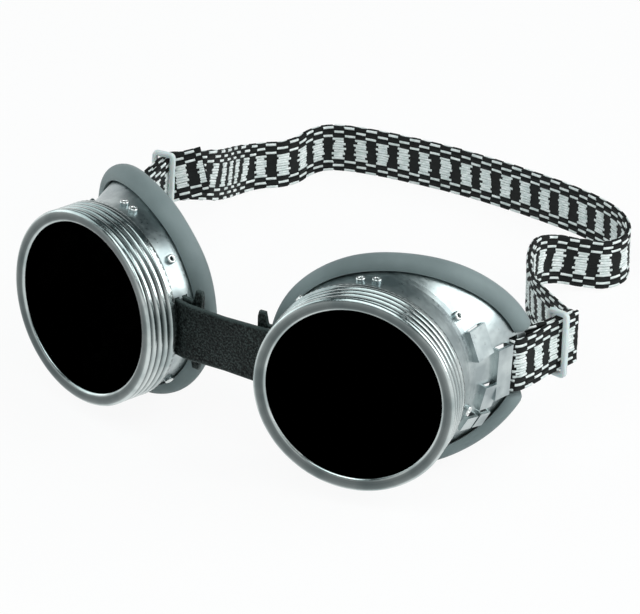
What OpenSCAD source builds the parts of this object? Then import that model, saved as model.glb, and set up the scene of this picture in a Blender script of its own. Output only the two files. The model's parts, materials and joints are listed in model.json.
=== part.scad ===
// Screw-ring goggles: two drawn aluminium eyecups with round lenses held by threaded rings,
// a leather nose strap, slit tube padding on the rims and an elastic headband with two sliders.
// Millimetres. +Z up, the lenses look towards -Y, and the goggles rest on Z = 0.
// Each cup has a frame of its own: x towards the right of the picture, y up, z out through the lens,
// with z = 0 in the plane of the ring's mouth. Depths are measured backwards from that plane.

/* [Placing of the cups] */
// Distance from the middle of the goggles to the centre of each ring's mouth
cup_offset = 42.6; // [40:0.2:50]
// Outward turn of each lens, in degrees
splay = 14; // [6:1:18]
// Upward tilt of each lens, in degrees
tilt = 4.4; // [2:0.2:6]

/* [Lenses] */
// Diameter of the round lenses
lens_d = 50; // [48:0.5:52]
// Thickness of the clear cover lens
cover_t = 1.3; // [1:0.1:1.6]
// Thickness of the dark filter lens
filter_t = 2.5; // [2:0.1:3]
// Thickness of the gasket
gasket_t = 0.6; // [0.4:0.1:1]
// Width of the gasket between its edge and its opening
gasket_w = 3; // [2:0.5:4]
// Width of the turned-in seat under the gasket
seat_w = 1.6; // [1:0.2:2.4]
// Thickness of that seat
seat_t = 0.6; // [0.5:0.1:0.8]
// Play between the parts of the lens stack
stack_gap = 0.05; // [0.03:0.01:0.08]

/* [Screw ring] */
// Diameter of the opening in the lip
mouth_d = 47.6; // [45:0.2:47.8]
// Depth of the ring behind the plane of its mouth
ring_l = 9.7; // [9:0.1:11]
// Height of the rolled front edge before that plane
ring_rise = 0.6; // [0.3:0.1:1]
// Thickness of the ring's sheet
ring_t = 0.6; // [0.5:0.05:0.8]
// Pitch of the rolled thread
pitch = 2.1; // [1.8:0.1:2.4]
// Height of the rolled thread from groove to ridge
thread_h = 0.7; // [0.5:0.05:0.8]
// Radial play between the ring and the neck of the cup
thread_gap = 0.3; // [0.26:0.01:0.35]
// Radial play between the lenses and the ring
lens_gap = 0.9; // [0.8:0.1:1.2]

/* [Eyecup] */
// Thickness of the cup's sheet
wall = 0.8; // [0.6:0.05:1]
// Depth at which the neck starts to flare
flare_depth = 16; // [15:0.5:18]
// Length of the bend between the neck and the flare
flare_bend = 6; // [4:0.5:8]
// Widening of the flare, millimetres of radius for each millimetre of depth
flare_rate = 0.434; // [0.36:0.01:0.46]
// Depth of the rim at the nose
nose_depth = 20.8; // [20:0.2:23]
// Radius of the curve to which the rim is cut
face_r = 94; // [90:1:110]
// Distance of the foremost point of that curve from the lens axis, towards the nose
face_x = 22; // [18:1:26]

/* [Vents] */
// Radius of the collar round a pierced vent
vent_r = 1.3; // [1.1:0.1:1.5]
// Radius of the hole in it
vent_hole_r = 0.6; // [0.4:0.05:0.8]
// Height of the collar
vent_h = 0.8; // [0.5:0.1:1.2]
// Height of a louvre's flat face over the wall
louvre_h = 1.4; // [1:0.1:1.8]
// Width of the pressed sides at a louvre's front and rear
louvre_side = 0.7; // [0.5:0.1:1]

/* [Edge padding] */
// Diameter of the padding tube
pad_d = 6.8; // [6:0.2:9]
// Distance by which the rim reaches past the middle of the tube
pad_bite = 0.8; // [0.4:0.1:1.6]
// Play between the rim and the sides of the slit
pad_gap = 0.4; // [0.3:0.05:0.5]
// Play between the ends of the tube and the headband
pad_end_gap = 1; // [0.6:0.1:2]

/* [Nose strap] */
// Width of the leather
strap_w = 16; // [14:0.5:19]
// Thickness of the leather
strap_t = 1.3; // [1:0.1:1.4]
// Height of the strap's middle, measured from the lens axis
strap_y = 1; // [-3:0.5:3]
// Width of the end tabs
tab_w = 23; // [20:0.5:25]
// Distance of the strap's middle behind the plane of the mouths
strap_mid_y = 4.4; // [1.5:0.1:6]
// Play of the leather in its slots
strap_gap = 0.25; // [0.2:0.05:0.4]
// Depth of the front strap slot
front_slot_depth = 10.7; // [10.5:0.1:11]
// Width of the metal between the two strap slots
strap_bar = 0.9; // [0.8:0.1:1.2]

/* [Headband] */
// Width of the elastic
band_w = 15.5; // [13:0.5:17]
// Thickness of the elastic
band_t = 1.5; // [1.2:0.1:1.6]
// Height of the band's middle at the temple, measured from the lens axis
band_y = -1.3; // [-2:0.1:0]
// Play of the band in its slot and round the rim
band_gap = 0.35; // [0.3:0.05:0.5]
// Width of the metal between the band slot and the rim
band_bar = 4; // [3.5:0.1:5]
// Play between the two layers of the band in the sliders
layer_gap = 0.3; // [0.2:0.1:0.6]
// Distance of the left slider behind the rim
left_slider_t = 35; // [30:1:36]
// Distance of the right slider behind the rim
right_slider_t = 13; // [12:0.5:14]

/* [Sliders] */
// Thickness of the sliders' rod
rod_t = 1.6; // [1.2:0.1:2]
// Play between the sliders and the band
slider_gap = 0.3; // [0.25:0.05:0.5]

/* [Hidden] */
left = -1;
right = 1;

// Depths of the lens stack, from the lip to the mouth of the neck
lip_depth = 0.7;
cover_depth = lip_depth + stack_gap;
filter_depth = cover_depth + cover_t + stack_gap;
gasket_depth = filter_depth + filter_t + stack_gap;
neck_depth = gasket_depth + gasket_t + stack_gap;

// Mean radii of the three threaded surfaces
ring_in_r = lens_d / 2 + lens_gap + thread_h / 2 + 0.05;
ring_out_r = ring_in_r + ring_t;
neck_thread_r = ring_in_r - thread_gap;
ring_edge_r = ring_out_r + thread_h / 2 + 0.05;

// The neck under the thread, and the cup behind the ring
neck_out_r = neck_thread_r - thread_h / 2 - 0.15;
neck_in_r = neck_out_r - 0.5;
cup_r = neck_thread_r;
neck_step = ring_l + 0.3;

// Resolution of the meshes
turn_steps = 36;
row_steps = 5;
pad_steps = 38;
pad_sides = 10;

// Outer radius of the cup at a depth
function bend(x) = x <= 0 ? 0 : x < flare_bend ? x * x / (2 * flare_bend) : x - flare_bend / 2;
function cup_radius(depth) = cup_r + flare_rate * bend(depth - flare_depth);
flare_angle = atan(flare_rate);

// Depth of the rim at a distance towards the temple, and where the flare meets it at an angle
function rim_cut(x) = nose_depth + face_r - sqrt(face_r * face_r - (x + face_x) * (x + face_x));
function rim_depth(angle, depth = nose_depth, tries = 8) =
  tries == 0 ? depth : rim_depth(angle, rim_cut(cup_radius(depth) * cos(angle)), tries - 1);
function wall_angle(depth) =
  atan(flare_rate * min(1, max(0, (depth - flare_depth) / flare_bend)));

// A point of a cup's frame in the frame of the goggles, before they are set on the ground
function turned(side, p) =
  let (
    y = p[1] * sin(tilt) - p[2] * cos(tilt),
    z = p[1] * cos(tilt) + p[2] * sin(tilt),
    a = side * splay
  )
  [p[0] * cos(a) - y * sin(a), p[0] * sin(a) + y * cos(a), z];
function cup_point(side, p) = [side * cup_offset, 0, 0] + turned(side, [side * p[0], p[1], p[2]]);

// The rim at the temple, and points given along the wall, across it and up from the axis
temple_depth = rim_depth(0);
temple_r = cup_radius(temple_depth) - wall / 2;
function temple_point(side, along, across, up) = cup_point(side, [
  temple_r + along * sin(flare_angle) + across * cos(flare_angle),
  up,
  -temple_depth - along * cos(flare_angle) + across * sin(flare_angle)
]);

// Play of the band on the rim: the inner layer lies flat across the curved wall
rim_sag = temple_r - sqrt(temple_r * temple_r - pow(band_w / 2 - band_y, 2));
outer_across = wall / 2 + band_gap + band_t / 2;
inner_across = -(wall / 2 + rim_sag + band_gap + band_t / 2);
loop_r = (outer_across - inner_across) / 2;
loop_mid = (outer_across + inner_across) / 2;
band_slot_l = loop_r + band_t / 2 + band_gap;
layer_across = (band_t + layer_gap) / 2;

// Headband: places along the doubled stretches, measured backwards from the rim
close_from = 2;
close_to = 8;
right_straight = right_slider_t + 4;
left_straight = left_slider_t + 3;
right_tail = right_slider_t + 7;

// Middle line of the free part of the headband, from the right slider round to the left slider
band_route = [
  [67, 69.5, 24], [61.5, 74.5, 22.5], [53.5, 81, 21], [45.5, 88.5, 19], [38.5, 98, 17],
  [32.5, 109, 14.5], [29, 119, 12.5], [31, 126.5, 10.5], [37, 131, 9], [42.5, 135.5, 7.9],
  [44.5, 142, 7.75], [41.5, 149, 7.75], [34, 155, 7.75], [22, 159, 7.75], [7, 161, 7.75],
  [-8, 162, 7.75], [-25, 162, 7.75], [-41, 160.5, 7.75], [-55, 158, 7.75], [-63, 154.5, 7.75],
  [-66, 149, 7.75], [-66.5, 143, 7.75], [-69, 138, 7.75], [-73.5, 134, 7.75],
  [-75.5, 129, 8.4], [-74.5, 122, 11], [-72, 114, 14.5], [-70, 106, 18], [-70, 98, 21.5]
];
route_half_w = 7.75;
// Short free tail of the band at the left, on the inner side
left_tail = [[-66.8, 91.2, 1.2], [-65.2, 92.6, 1.6]];

// The padding leaves the temple free, where the band goes round the rim
pad_from = asin((band_w / 2 + band_gap + pad_end_gap + band_y) / temple_r);
pad_to = 360 - asin((band_w / 2 + band_gap + pad_end_gap - band_y) / temple_r);

// Height of the lens axes above the ground, so that the lowest point of the padding touches it
pad_low = min([
  for (i = [0:pad_steps])
    let (a = pad_angle(i), m = pad_middle(a))
    cup_point(right, m)[2] - pad_d / 2
]);
eye_h = -pad_low;

// Reach of the goggles to each side, to the front and to the back
function slider_reach(side, along) =
  side * temple_point(side, along, layer_across + band_t / 2 + slider_gap + rod_t, band_y)[0];
left_reach = max(
  slider_reach(left, left_slider_t),
  -min([for (p = band_route) p[0]]) + band_t / 2
);
right_reach = slider_reach(right, right_slider_t);
front_reach = ring_edge_r * sin(splay) + ring_rise * cos(splay);
back_reach = max([for (p = band_route) p[1]]) + band_t / 2;
middle = [(right_reach - left_reach) / 2, (back_reach - front_reach) / 2];

// Sets a piece drawn about the lens axes on the ground, with the origin under the middle
module on_ground() {
  translate([-middle[0], -middle[1], eye_h]) children();
}

module on_cup(side) {
  on_ground()
    translate([side * cup_offset, 0, 0])
      rotate([90 - tilt, 0, side * splay])
        children();
}

// The cup itself is handed, and the threads are not
module handed(side) {
  if (side == right) {
    children();
  } else {
    mirror([1, 0, 0]) children();
  }
}

// Cylindrical wall from one depth to another
module disc(r, depth, t) {
  translate([0, 0, -depth - t]) cylinder(r = r, h = t, $fn = 96);
}

// Closed surface through rings of points: each row is one closed ring
module through_rows(rows, closed) {
  n = len(rows[0]);
  m = len(rows);
  last = closed ? m - 1 : m - 2;
  sides = [
    for (i = [0:last], j = [0:n - 1], half = [0, 1])
      let (
        a = i * n + j,
        b = i * n + (j + 1) % n,
        c = ((i + 1) % m) * n + (j + 1) % n,
        d = ((i + 1) % m) * n + j
      )
      half == 0 ? [a, c, b] : [a, d, c]
  ];
  ends = closed ? [] : [
    [for (j = [0:n - 1]) j],
    [for (j = [n - 1:-1:0]) (m - 1) * n + j]
  ];
  polyhedron(points = [for (row = rows) for (p = row) p], faces = concat(sides, ends));
}

// Threaded sleeve: a loop of [radius, z, share of the thread], turned about the axis.
// The ridge climbs one pitch towards +z in each turn, so the thread is right-handed.
module threaded_loop(loop) {
  rows = [
    for (i = [0:turn_steps - 1])
      let (a = i * 360 / turn_steps)
      [
        for (q = loop)
          let (r = q[0] + q[2] * thread_h / 2 * cos(a - 360 * q[1] / pitch))
          [r * cos(a), r * sin(a), q[1]]
      ]
  ];
  through_rows(rows, true);
}

// Rows of a threaded surface between two depths. At both ends the thread fades out to the
// ridge's radius with swell 1, or to the groove's with swell -1.
function thread_rows(r, from, to, swell) =
  let (n = max(2, round(abs(to - from) * row_steps / pitch)))
  [
    for (i = [0:n])
      let (
        depth = from + (to - from) * i / n,
        share = min(1, min(abs(depth - from), abs(to - depth)) / (pitch / 4))
      )
      [r + swell * (1 - share) * thread_h / 2, -depth, share]
  ];

module screw_ring(side) {
  mouth_r = mouth_d / 2;
  thread_end = neck_depth - 0.6;
  loop = concat(
    [
      [mouth_r, 0, 0],
      [ring_edge_r - 0.8, ring_rise, 0],
      [ring_edge_r - 0.2, ring_rise * 0.8, 0],
      [ring_edge_r, 0, 0]
    ],
    thread_rows(ring_out_r, 0.5, ring_l - 0.9, 1),
    [
      [ring_edge_r, -ring_l + 0.7, 0],
      [ring_edge_r, -ring_l, 0],
      [ring_in_r + thread_h / 2 + 0.05, -ring_l, 0]
    ],
    thread_rows(ring_in_r, ring_l - 0.3, thread_end, 1),
    [
      [ring_in_r, -lip_depth, 0],
      [mouth_r, -lip_depth + 0.1, 0]
    ]
  );
  color("silver") on_cup(side) threaded_loop(loop);
}

// Outline of the cup's wall between two depths, grown outwards by lift and t thick
bend_steps = 4;
module wall_outline(lift, t, from, to) {
  middle_depths = [for (i = [0:bend_steps]) flare_depth + flare_bend * i / bend_steps];
  depths = concat([from], [for (d = middle_depths) if (d > from && d < to) d], [to]);
  polygon(concat(
    [
      for (d = depths)
        [cup_radius(d) + lift / cos(wall_angle(d)), -d]
    ],
    [
      for (i = [len(depths) - 1:-1:0])
        let (d = depths[i])
        [cup_radius(d) + (lift - t) / cos(wall_angle(d)), -d]
    ]
  ));
}

module wall_ring(lift, t, from, to) {
  rotate_extrude($fn = 96) wall_outline(lift, t, from, to);
}

// Neck that carries the ring: a tube with a rolled thread, turned in at its mouth as the
// gasket's seat
module neck() {
  rotate_extrude($fn = 96)
    polygon([
      [lens_d / 2 - seat_w, -neck_depth],
      [neck_out_r, -neck_depth],
      [neck_out_r, -neck_step],
      [cup_r, -neck_step - 0.2],
      [cup_r, -neck_step - 0.6],
      [cup_r - wall, -neck_step - 0.6],
      [neck_in_r, -neck_step],
      [neck_in_r, -neck_depth - seat_t],
      [lens_d / 2 - seat_w, -neck_depth - seat_t]
    ]);
  root_r = neck_out_r - 0.15;
  rows = thread_rows(neck_thread_r, neck_depth + 0.1, ring_l + 0.2, -1);
  threaded_loop(concat(
    rows,
    [[root_r, -ring_l - 0.2, 0], [root_r, -neck_depth - 0.1, 0]]
  ));
}

// Louvres: [distance of the middle before the temple rim, height of the middle, length along
// the cup, width up]
louvres = [
  [16.9, 9.3, 6.2, 8.6],
  [10.2, -1.2, 5.8, 14.6],
  [14.6, -6.6, 5, 7],
  [17.8, -13.2, 4.6, 4.4],
  [13, -14, 4.2, 4.8]
];
// Depth to which the pressed sides reach below the wall's surface at the middle of a louvre
louvre_root = 1.6;

// Box on the wall at a louvre, from its root to a height, with its ends drawn back or out
module louvre_box(q, top, inset, reach) {
  depth = temple_depth - q[0];
  r = cup_radius(depth);
  rotate([0, 0, asin(q[1] / r)])
    translate([r, 0, -depth])
      rotate([0, -wall_angle(depth), 0])
        translate([-louvre_root - reach, -q[3] / 2 - reach, -q[2] / 2 + inset])
          cube([louvre_root + reach + top, q[3] + 2 * reach, q[2] - 2 * inset]);
}

// Flat pressed-out faces with their sides, open at the upper and lower ends
module louvre_plates(deepest) {
  difference() {
    intersection() {
      for (q = louvres) louvre_box(q, louvre_h, 0, 0);
      wall_ring(2 * louvre_h, 2 * louvre_h + wall / 2, neck_step + 2, deepest);
    }
    for (q = louvres) louvre_box(q, louvre_h - wall, louvre_side, wall);
  }
}

// Vents: [angle from the temple, depth]
vents = [[97, 14], [88, 14.6], [137, 13.4], [39, 21], [-18, 19], [222, 14.4]];

module at_vent(q) {
  rotate([0, 0, q[0]])
    translate([cup_radius(q[1]) - wall / 2, 0, -q[1]])
      rotate([0, 90 - wall_angle(q[1]), 0])
        children();
}

// Reach of the slots' cuts through the curved wall
slot_cut = 10 * wall;
strap_slot = strap_t + 2 * strap_gap;
rear_slot_depth = front_slot_depth + strap_slot + strap_bar;

module strap_slots() {
  for (depth = [front_slot_depth, rear_slot_depth])
    translate([-cup_r - slot_cut / 4, strap_y - strap_w / 2 - strap_gap, -depth - strap_slot])
      cube([slot_cut, strap_w + 2 * strap_gap, strap_slot]);
}

// Slot for the headband, square to the flared wall
module band_slot() {
  translate([temple_r, band_y, -temple_depth])
    rotate([0, -flare_angle, 0])
      translate([-slot_cut / 2, -band_w / 2 - band_gap, band_bar])
        cube([slot_cut, band_w + 2 * band_gap, band_slot_l]);
}

module face_cut() {
  translate([-face_x, 0, -nose_depth - face_r])
    rotate([90, 0, 0])
      cylinder(r = face_r, h = 3 * cup_r, center = true, $fn = 180);
}

module eyecup(side) {
  deepest = temple_depth + 3;
  color("gainsboro") on_cup(side) {
    handed(side)
      difference() {
        union() {
          difference() {
            wall_ring(0, wall, neck_step + 0.3, deepest);
            for (q = louvres) louvre_box(q, 0, louvre_side, 0);
          }
          louvre_plates(deepest);
          for (q = vents)
            at_vent(q) cylinder(r = vent_r, h = wall / 2 + vent_h, $fn = 24);
        }
        for (q = vents)
          at_vent(q)
            translate([0, 0, -wall])
              cylinder(r = vent_hole_r, h = 3 * wall + vent_h, $fn = 24);
        face_cut();
        strap_slots();
        band_slot();
      }
    neck();
  }
}

// Padding tube along the rim
function pad_angle(i) = pad_from + (pad_to - pad_from) * i / pad_steps;

// Mean slope of the wall inside the slit
function slit_angle(d) =
  let (reach = pad_d / 2 - pad_bite)
  atan((cup_radius(d) - cup_radius(d - reach)) / reach);

// Middle of the tube at an angle, in the frame of a right cup
function pad_middle(a) =
  let (d = rim_depth(a), b = slit_angle(d), r = cup_radius(d) - wall / 2)
  [
    (r - pad_bite * sin(b)) * cos(a),
    (r - pad_bite * sin(b)) * sin(a),
    -d + pad_bite * cos(b)
  ];

// Section of the tube: [across the wall, along it], with the slit towards the lens
slit_w = wall / 2 + pad_gap;
function pad_section() =
  let (r = pad_d / 2, lip = asin(slit_w / r))
  concat(
    [[-slit_w, pad_bite + pad_gap], [slit_w, pad_bite + pad_gap]],
    [
      for (i = [0:pad_sides])
        let (a = lip + (360 - 2 * lip) * i / pad_sides)
        [r * sin(a), -r * cos(a)]
    ]
  );

// The rim climbs across the radial planes, so the section is drawn out along the wall there
function pad_lean(a) =
  let (rise = (rim_depth(a + 1) - rim_depth(a - 1)) / (2 * PI / 180 * cup_radius(rim_depth(a))))
  sqrt(1 + rise * rise);

module edge_padding(side) {
  rows = [
    for (i = [0:pad_steps])
      let (a = pad_angle(i), m = pad_middle(a), b = slit_angle(rim_depth(a)), k = pad_lean(a))
      [
        for (q = pad_section())
          let (
            across = q[0],
            along = q[1] < 0 || q[1] > pad_bite + 2 * pad_gap ? q[1] * k : q[1],
            r = across * cos(b) + along * sin(b)
          )
          m + [r * cos(a), r * sin(a), across * sin(b) - along * cos(b)]
      ]
  ];
  color("slategray") on_cup(side) handed(side) through_rows(rows, false);
}

module cover_lens(side) {
  color("lightcyan") on_cup(side) disc(lens_d / 2, cover_depth, cover_t);
}

module filter_lens(side) {
  color("darkslategray") on_cup(side) disc(lens_d / 2, filter_depth, filter_t);
}

module lens_gasket(side) {
  color("dimgray") on_cup(side)
    difference() {
      disc(lens_d / 2, gasket_depth, gasket_t);
      disc(lens_d / 2 - gasket_w, gasket_depth - 1, gasket_t + 2);
    }
}

// Strip of stations [middle, up, width], t thick, standing on its edge
module strip(stations, t) {
  last = len(stations) - 1;
  rows = [
    for (i = [0:last])
      let (
        s = stations[i],
        before = stations[max(0, i - 1)][0],
        after = stations[min(last, i + 1)][0],
        way = after - before,
        out = cross(way, s[1]),
        n = out / norm(out) * t / 2,
        h = s[1] * s[2] / 2
      )
      [s[0] - n - h, s[0] + n - h, s[0] + n + h, s[0] - n + h]
  ];
  through_rows([for (r = rows) [r[3], r[2], r[1], r[0]]], false);
}

// Strap stations of one cup, from the end tab in through the rear slot and out of the front one
strap_front = front_slot_depth + strap_slot / 2;
strap_rear = rear_slot_depth + strap_slot / 2;
strap_turn = (strap_rear - strap_front) / 2;
strap_turn_x = sqrt(pow(cup_r - wall, 2) - pow(strap_w / 2 + abs(strap_y), 2));
strap_path = concat(
  [
    [cup_r + 5, strap_rear + 0.6, tab_w],
    [cup_r + 2.6, strap_rear + 0.2, tab_w],
    [cup_r + 2.2, strap_rear + 0.1, strap_w],
    [cup_r, strap_rear, strap_w]
  ],
  [
    for (a = [90:-30:-90])
      [
        strap_turn_x - cos(a) * strap_turn,
        (strap_front + strap_rear) / 2 + sin(a) * strap_turn,
        strap_w
      ]
  ],
  [
    [cup_r, strap_front, strap_w],
    [cup_r + 2.6, strap_front + 0.1, strap_w]
  ]
);

function up_of(side) = turned(side, [0, 1, 0]);
function strap_side(side) = [
  for (q = strap_path)
    [cup_point(side, [-q[0], strap_y, -q[1]]), up_of(side), q[2]]
];
strap_h = cup_point(right, [-cup_r - 2.6, strap_y, -strap_front])[2];

module nose_strap() {
  middle_part = [[[0, strap_mid_y, strap_h], [0, 0, 1], strap_w]];
  path = concat(
    strap_side(left),
    middle_part,
    [for (i = [len(strap_path) - 1:-1:0]) strap_side(right)[i]]
  );
  color([0.1, 0.1, 0.1]) on_ground() strip(path, strap_t);
}

// Smooth line through hand-set points, with steps points for each stretch
function smooth(p, steps) = [
  for (i = [0:len(p) - 2], k = [0:steps - 1])
    let (
      a = p[max(0, i - 1)],
      b = p[i],
      c = p[i + 1],
      d = p[min(len(p) - 1, i + 2)],
      t = k / steps
    )
    ((2 * b) + (c - a) * t + (2 * a - 5 * b + 4 * c - d) * t * t
      + (3 * b - a - 3 * c + d) * t * t * t) / 2
];

// Band stations along the doubled stretch of one side
function layer(side, list) = [
  for (q = list)
    [temple_point(side, q[0], q[1], band_y), up_of(side), band_w]
];
function rim_loop() = concat(
  [[close_to, layer_across], [close_from, outer_across], [-band_bar / 2, outer_across]],
  [
    for (a = [90:30:270])
      [-band_bar + cos(a) * loop_r, loop_mid + sin(a) * loop_r]
  ],
  [[-band_bar / 2, inner_across], [close_from, inner_across], [close_to, -layer_across]]
);

// Points of the free band, whose heights were set above the ground for the width at hand
function free_point(p) = [p[0], p[1], p[2] - eye_h + (band_w / 2 - route_half_w)];

module headband() {
  right_end = layer(right, concat(
    [[right_tail, layer_across], [right_straight, layer_across]],
    rim_loop(),
    [[right_straight, -layer_across]]
  ));
  left_loop = layer(left, concat(
    [[left_straight, layer_across]],
    rim_loop(),
    [[left_straight, -layer_across]]
  ));
  start = right_end[len(right_end) - 1][0];
  finish = left_loop[0][0];
  free = smooth(concat([start], [for (p = band_route) free_point(p)], [finish]), 3);
  tail_h = left_loop[len(left_loop) - 1][0][2];
  tail = [
    for (p = left_tail)
      [[p[0], p[1], tail_h + p[2]], [0, 0, 1], band_w]
  ];
  path = concat(
    right_end,
    [for (i = [1:len(free) - 1]) [free[i], [0, 0, 1], band_w]],
    left_loop,
    tail
  );
  color([0.2, 0.22, 0.22]) on_ground() strip(path, band_t);
}

// Rectangle with round corners of radius r, from exact squares and circles
module round_square(x, y, r) {
  square([x, y - 2 * r], center = true);
  square([x - 2 * r, y], center = true);
  for (sx = [-1, 1], sy = [-1, 1])
    translate([sx * (x / 2 - r), sy * (y / 2 - r)])
      circle(r = r, $fn = 32);
}

module band_slider(side, along) {
  inner_x = 2 * layer_across + band_t + 2 * slider_gap;
  inner_y = band_w + 2 * slider_gap;
  color("whitesmoke") on_cup(side) handed(side)
    translate([temple_r, band_y, -temple_depth])
      rotate([0, -flare_angle, 0])
        translate([0, 0, -along])
          linear_extrude(height = rod_t, center = true)
            difference() {
              round_square(inner_x + 2 * rod_t, inner_y + 2 * rod_t, rod_t);
              square([inner_x, inner_y], center = true);
            }
}

eyecup(left);  // left_eyecup
eyecup(right);  // right_eyecup
edge_padding(left);  // left_edge_padding
edge_padding(right);  // right_edge_padding
screw_ring(left);  // left_screw_ring
screw_ring(right);  // right_screw_ring
cover_lens(left);  // left_cover_lens
cover_lens(right);  // right_cover_lens
filter_lens(left);  // left_filter_lens
filter_lens(right);  // right_filter_lens
lens_gasket(left);  // left_lens_gasket
lens_gasket(right);  // right_lens_gasket
nose_strap();
headband();
band_slider(left, left_slider_t);  // left_band_slider
band_slider(right, right_slider_t);  // right_band_slider
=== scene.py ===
"""Screw-ring goggles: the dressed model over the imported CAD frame.

Sizes are in millimetres inside the dataclasses, as in the part's source, and Layout turns them
into metres of the row frame. Each sub-assembly is a class with a build() method, and each surface
is a Finish. What repeats or follows a rule is made by Geometry Nodes.
"""

import json
import logging
import math
import random
from dataclasses import dataclass, field
from enum import Enum

import bmesh
import bpy
import numpy as np
from mathutils import Matrix, Vector

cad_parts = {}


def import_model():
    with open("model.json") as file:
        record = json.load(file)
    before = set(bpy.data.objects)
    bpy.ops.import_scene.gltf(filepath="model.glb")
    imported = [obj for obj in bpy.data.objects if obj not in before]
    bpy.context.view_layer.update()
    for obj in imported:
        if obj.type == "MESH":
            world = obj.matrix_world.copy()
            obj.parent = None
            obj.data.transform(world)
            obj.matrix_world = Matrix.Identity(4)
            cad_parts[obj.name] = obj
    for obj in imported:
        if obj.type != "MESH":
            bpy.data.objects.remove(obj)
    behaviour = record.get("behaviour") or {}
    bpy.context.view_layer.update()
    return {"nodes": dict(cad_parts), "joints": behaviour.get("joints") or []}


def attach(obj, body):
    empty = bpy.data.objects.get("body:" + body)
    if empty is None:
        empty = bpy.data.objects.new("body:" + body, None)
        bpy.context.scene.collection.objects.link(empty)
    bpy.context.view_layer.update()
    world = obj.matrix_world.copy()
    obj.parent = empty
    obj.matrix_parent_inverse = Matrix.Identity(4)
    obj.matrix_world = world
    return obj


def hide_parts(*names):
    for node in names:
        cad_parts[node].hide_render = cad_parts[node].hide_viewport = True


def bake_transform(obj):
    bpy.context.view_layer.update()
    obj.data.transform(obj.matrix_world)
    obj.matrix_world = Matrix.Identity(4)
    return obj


log = logging.getLogger("goggles")
MM = 0.001

Tree = bpy.types.NodeTree
Node = bpy.types.Node
Socket = bpy.types.NodeSocket
Material = bpy.types.Material
Object = bpy.types.Object


class Side(Enum):
    """The two sides of the goggles, as seen in the picture."""

    LEFT = -1
    RIGHT = 1

    @property
    def label(self) -> str:
        """Returns the prefix of the side's nodes and bodies."""
        return self.name.lower()


class Face(Enum):
    """The two faces of the headband."""

    INNER = -1
    OUTER = 1


class Thread(Enum):
    """The two yarns that show on the headband."""

    WHITE = "float"
    BLACK = "ground"


@dataclass(frozen=True)
class Sizes:
    """The driving sizes of the part's source that the pieces share, in mm and degrees."""

    splay: float = 14.0
    tilt: float = 4.4
    mouth_r: float = 23.8
    lip_depth: float = 0.7
    neck_depth: float = 5.3
    ring_l: float = 9.7
    ring_rise: float = 0.6
    ring_in_r: float = 26.3
    ring_out_r: float = 26.9
    ring_edge_r: float = 27.3
    pitch: float = 2.1
    thread_h: float = 0.7
    wall: float = 0.8
    cup_r: float = 26.0
    flare_depth: float = 16.0
    flare_bend: float = 6.0
    flare_rate: float = 0.434
    nose_depth: float = 20.8
    face_r: float = 94.0
    face_x: float = 22.0
    vent_r: float = 1.3
    vent_h: float = 0.8
    pad_d: float = 6.8
    pad_bite: float = 0.8
    pad_gap: float = 0.4
    pad_end_gap: float = 1.0
    strap_w: float = 16.0
    strap_t: float = 1.3
    strap_y: float = 1.0
    strap_gap: float = 0.25
    tab_w: float = 23.0
    strap_mid_y: float = 4.4
    front_slot: float = 10.7
    strap_bar: float = 0.9
    band_w: float = 15.5
    band_t: float = 1.5
    band_y: float = -1.3
    band_gap: float = 0.35
    band_bar: float = 4.0
    layer_gap: float = 0.3
    left_slider_t: float = 35.0
    right_slider_t: float = 13.0
    rod_t: float = 1.6
    slider_gap: float = 0.3

    def radius(self, depth: float) -> float:
        """Outer radius of a cup.

        Args:
            depth: distance behind the ring's mouth.
        Returns:
            The radius there.
        """
        x, b = depth - self.flare_depth, self.flare_bend
        bend = 0.0 if x <= 0 else x * x / (2 * b) if x < b else x - b / 2
        return self.cup_r + self.flare_rate * bend

    def slope(self, depth: float) -> float:
        """Returns the slope of the cup's wall at a depth, in radians."""
        share = min(1, max(0, (depth - self.flare_depth) / self.flare_bend))
        return math.atan(self.flare_rate * share)

    def rim_cut(self, x: float) -> float:
        """Returns the depth of the rim at x towards the temple."""
        return self.nose_depth + self.face_r - math.sqrt(self.face_r**2 - (x + self.face_x) ** 2)

    def rim_depth(self, angle: float) -> float:
        """Returns the depth of the rim at an angle round the cup, from the temple upwards."""
        depth = self.nose_depth
        for _ in range(12):
            depth = self.rim_cut(self.radius(depth) * math.cos(math.radians(angle)))
        return depth

    @property
    def flare_angle(self) -> float:
        """Returns the slope of the flared wall, in radians."""
        return math.atan(self.flare_rate)

    @property
    def layer_across(self) -> float:
        """Returns half the distance between the band's two layers in a slider."""
        return (self.band_t + self.layer_gap) / 2


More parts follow.
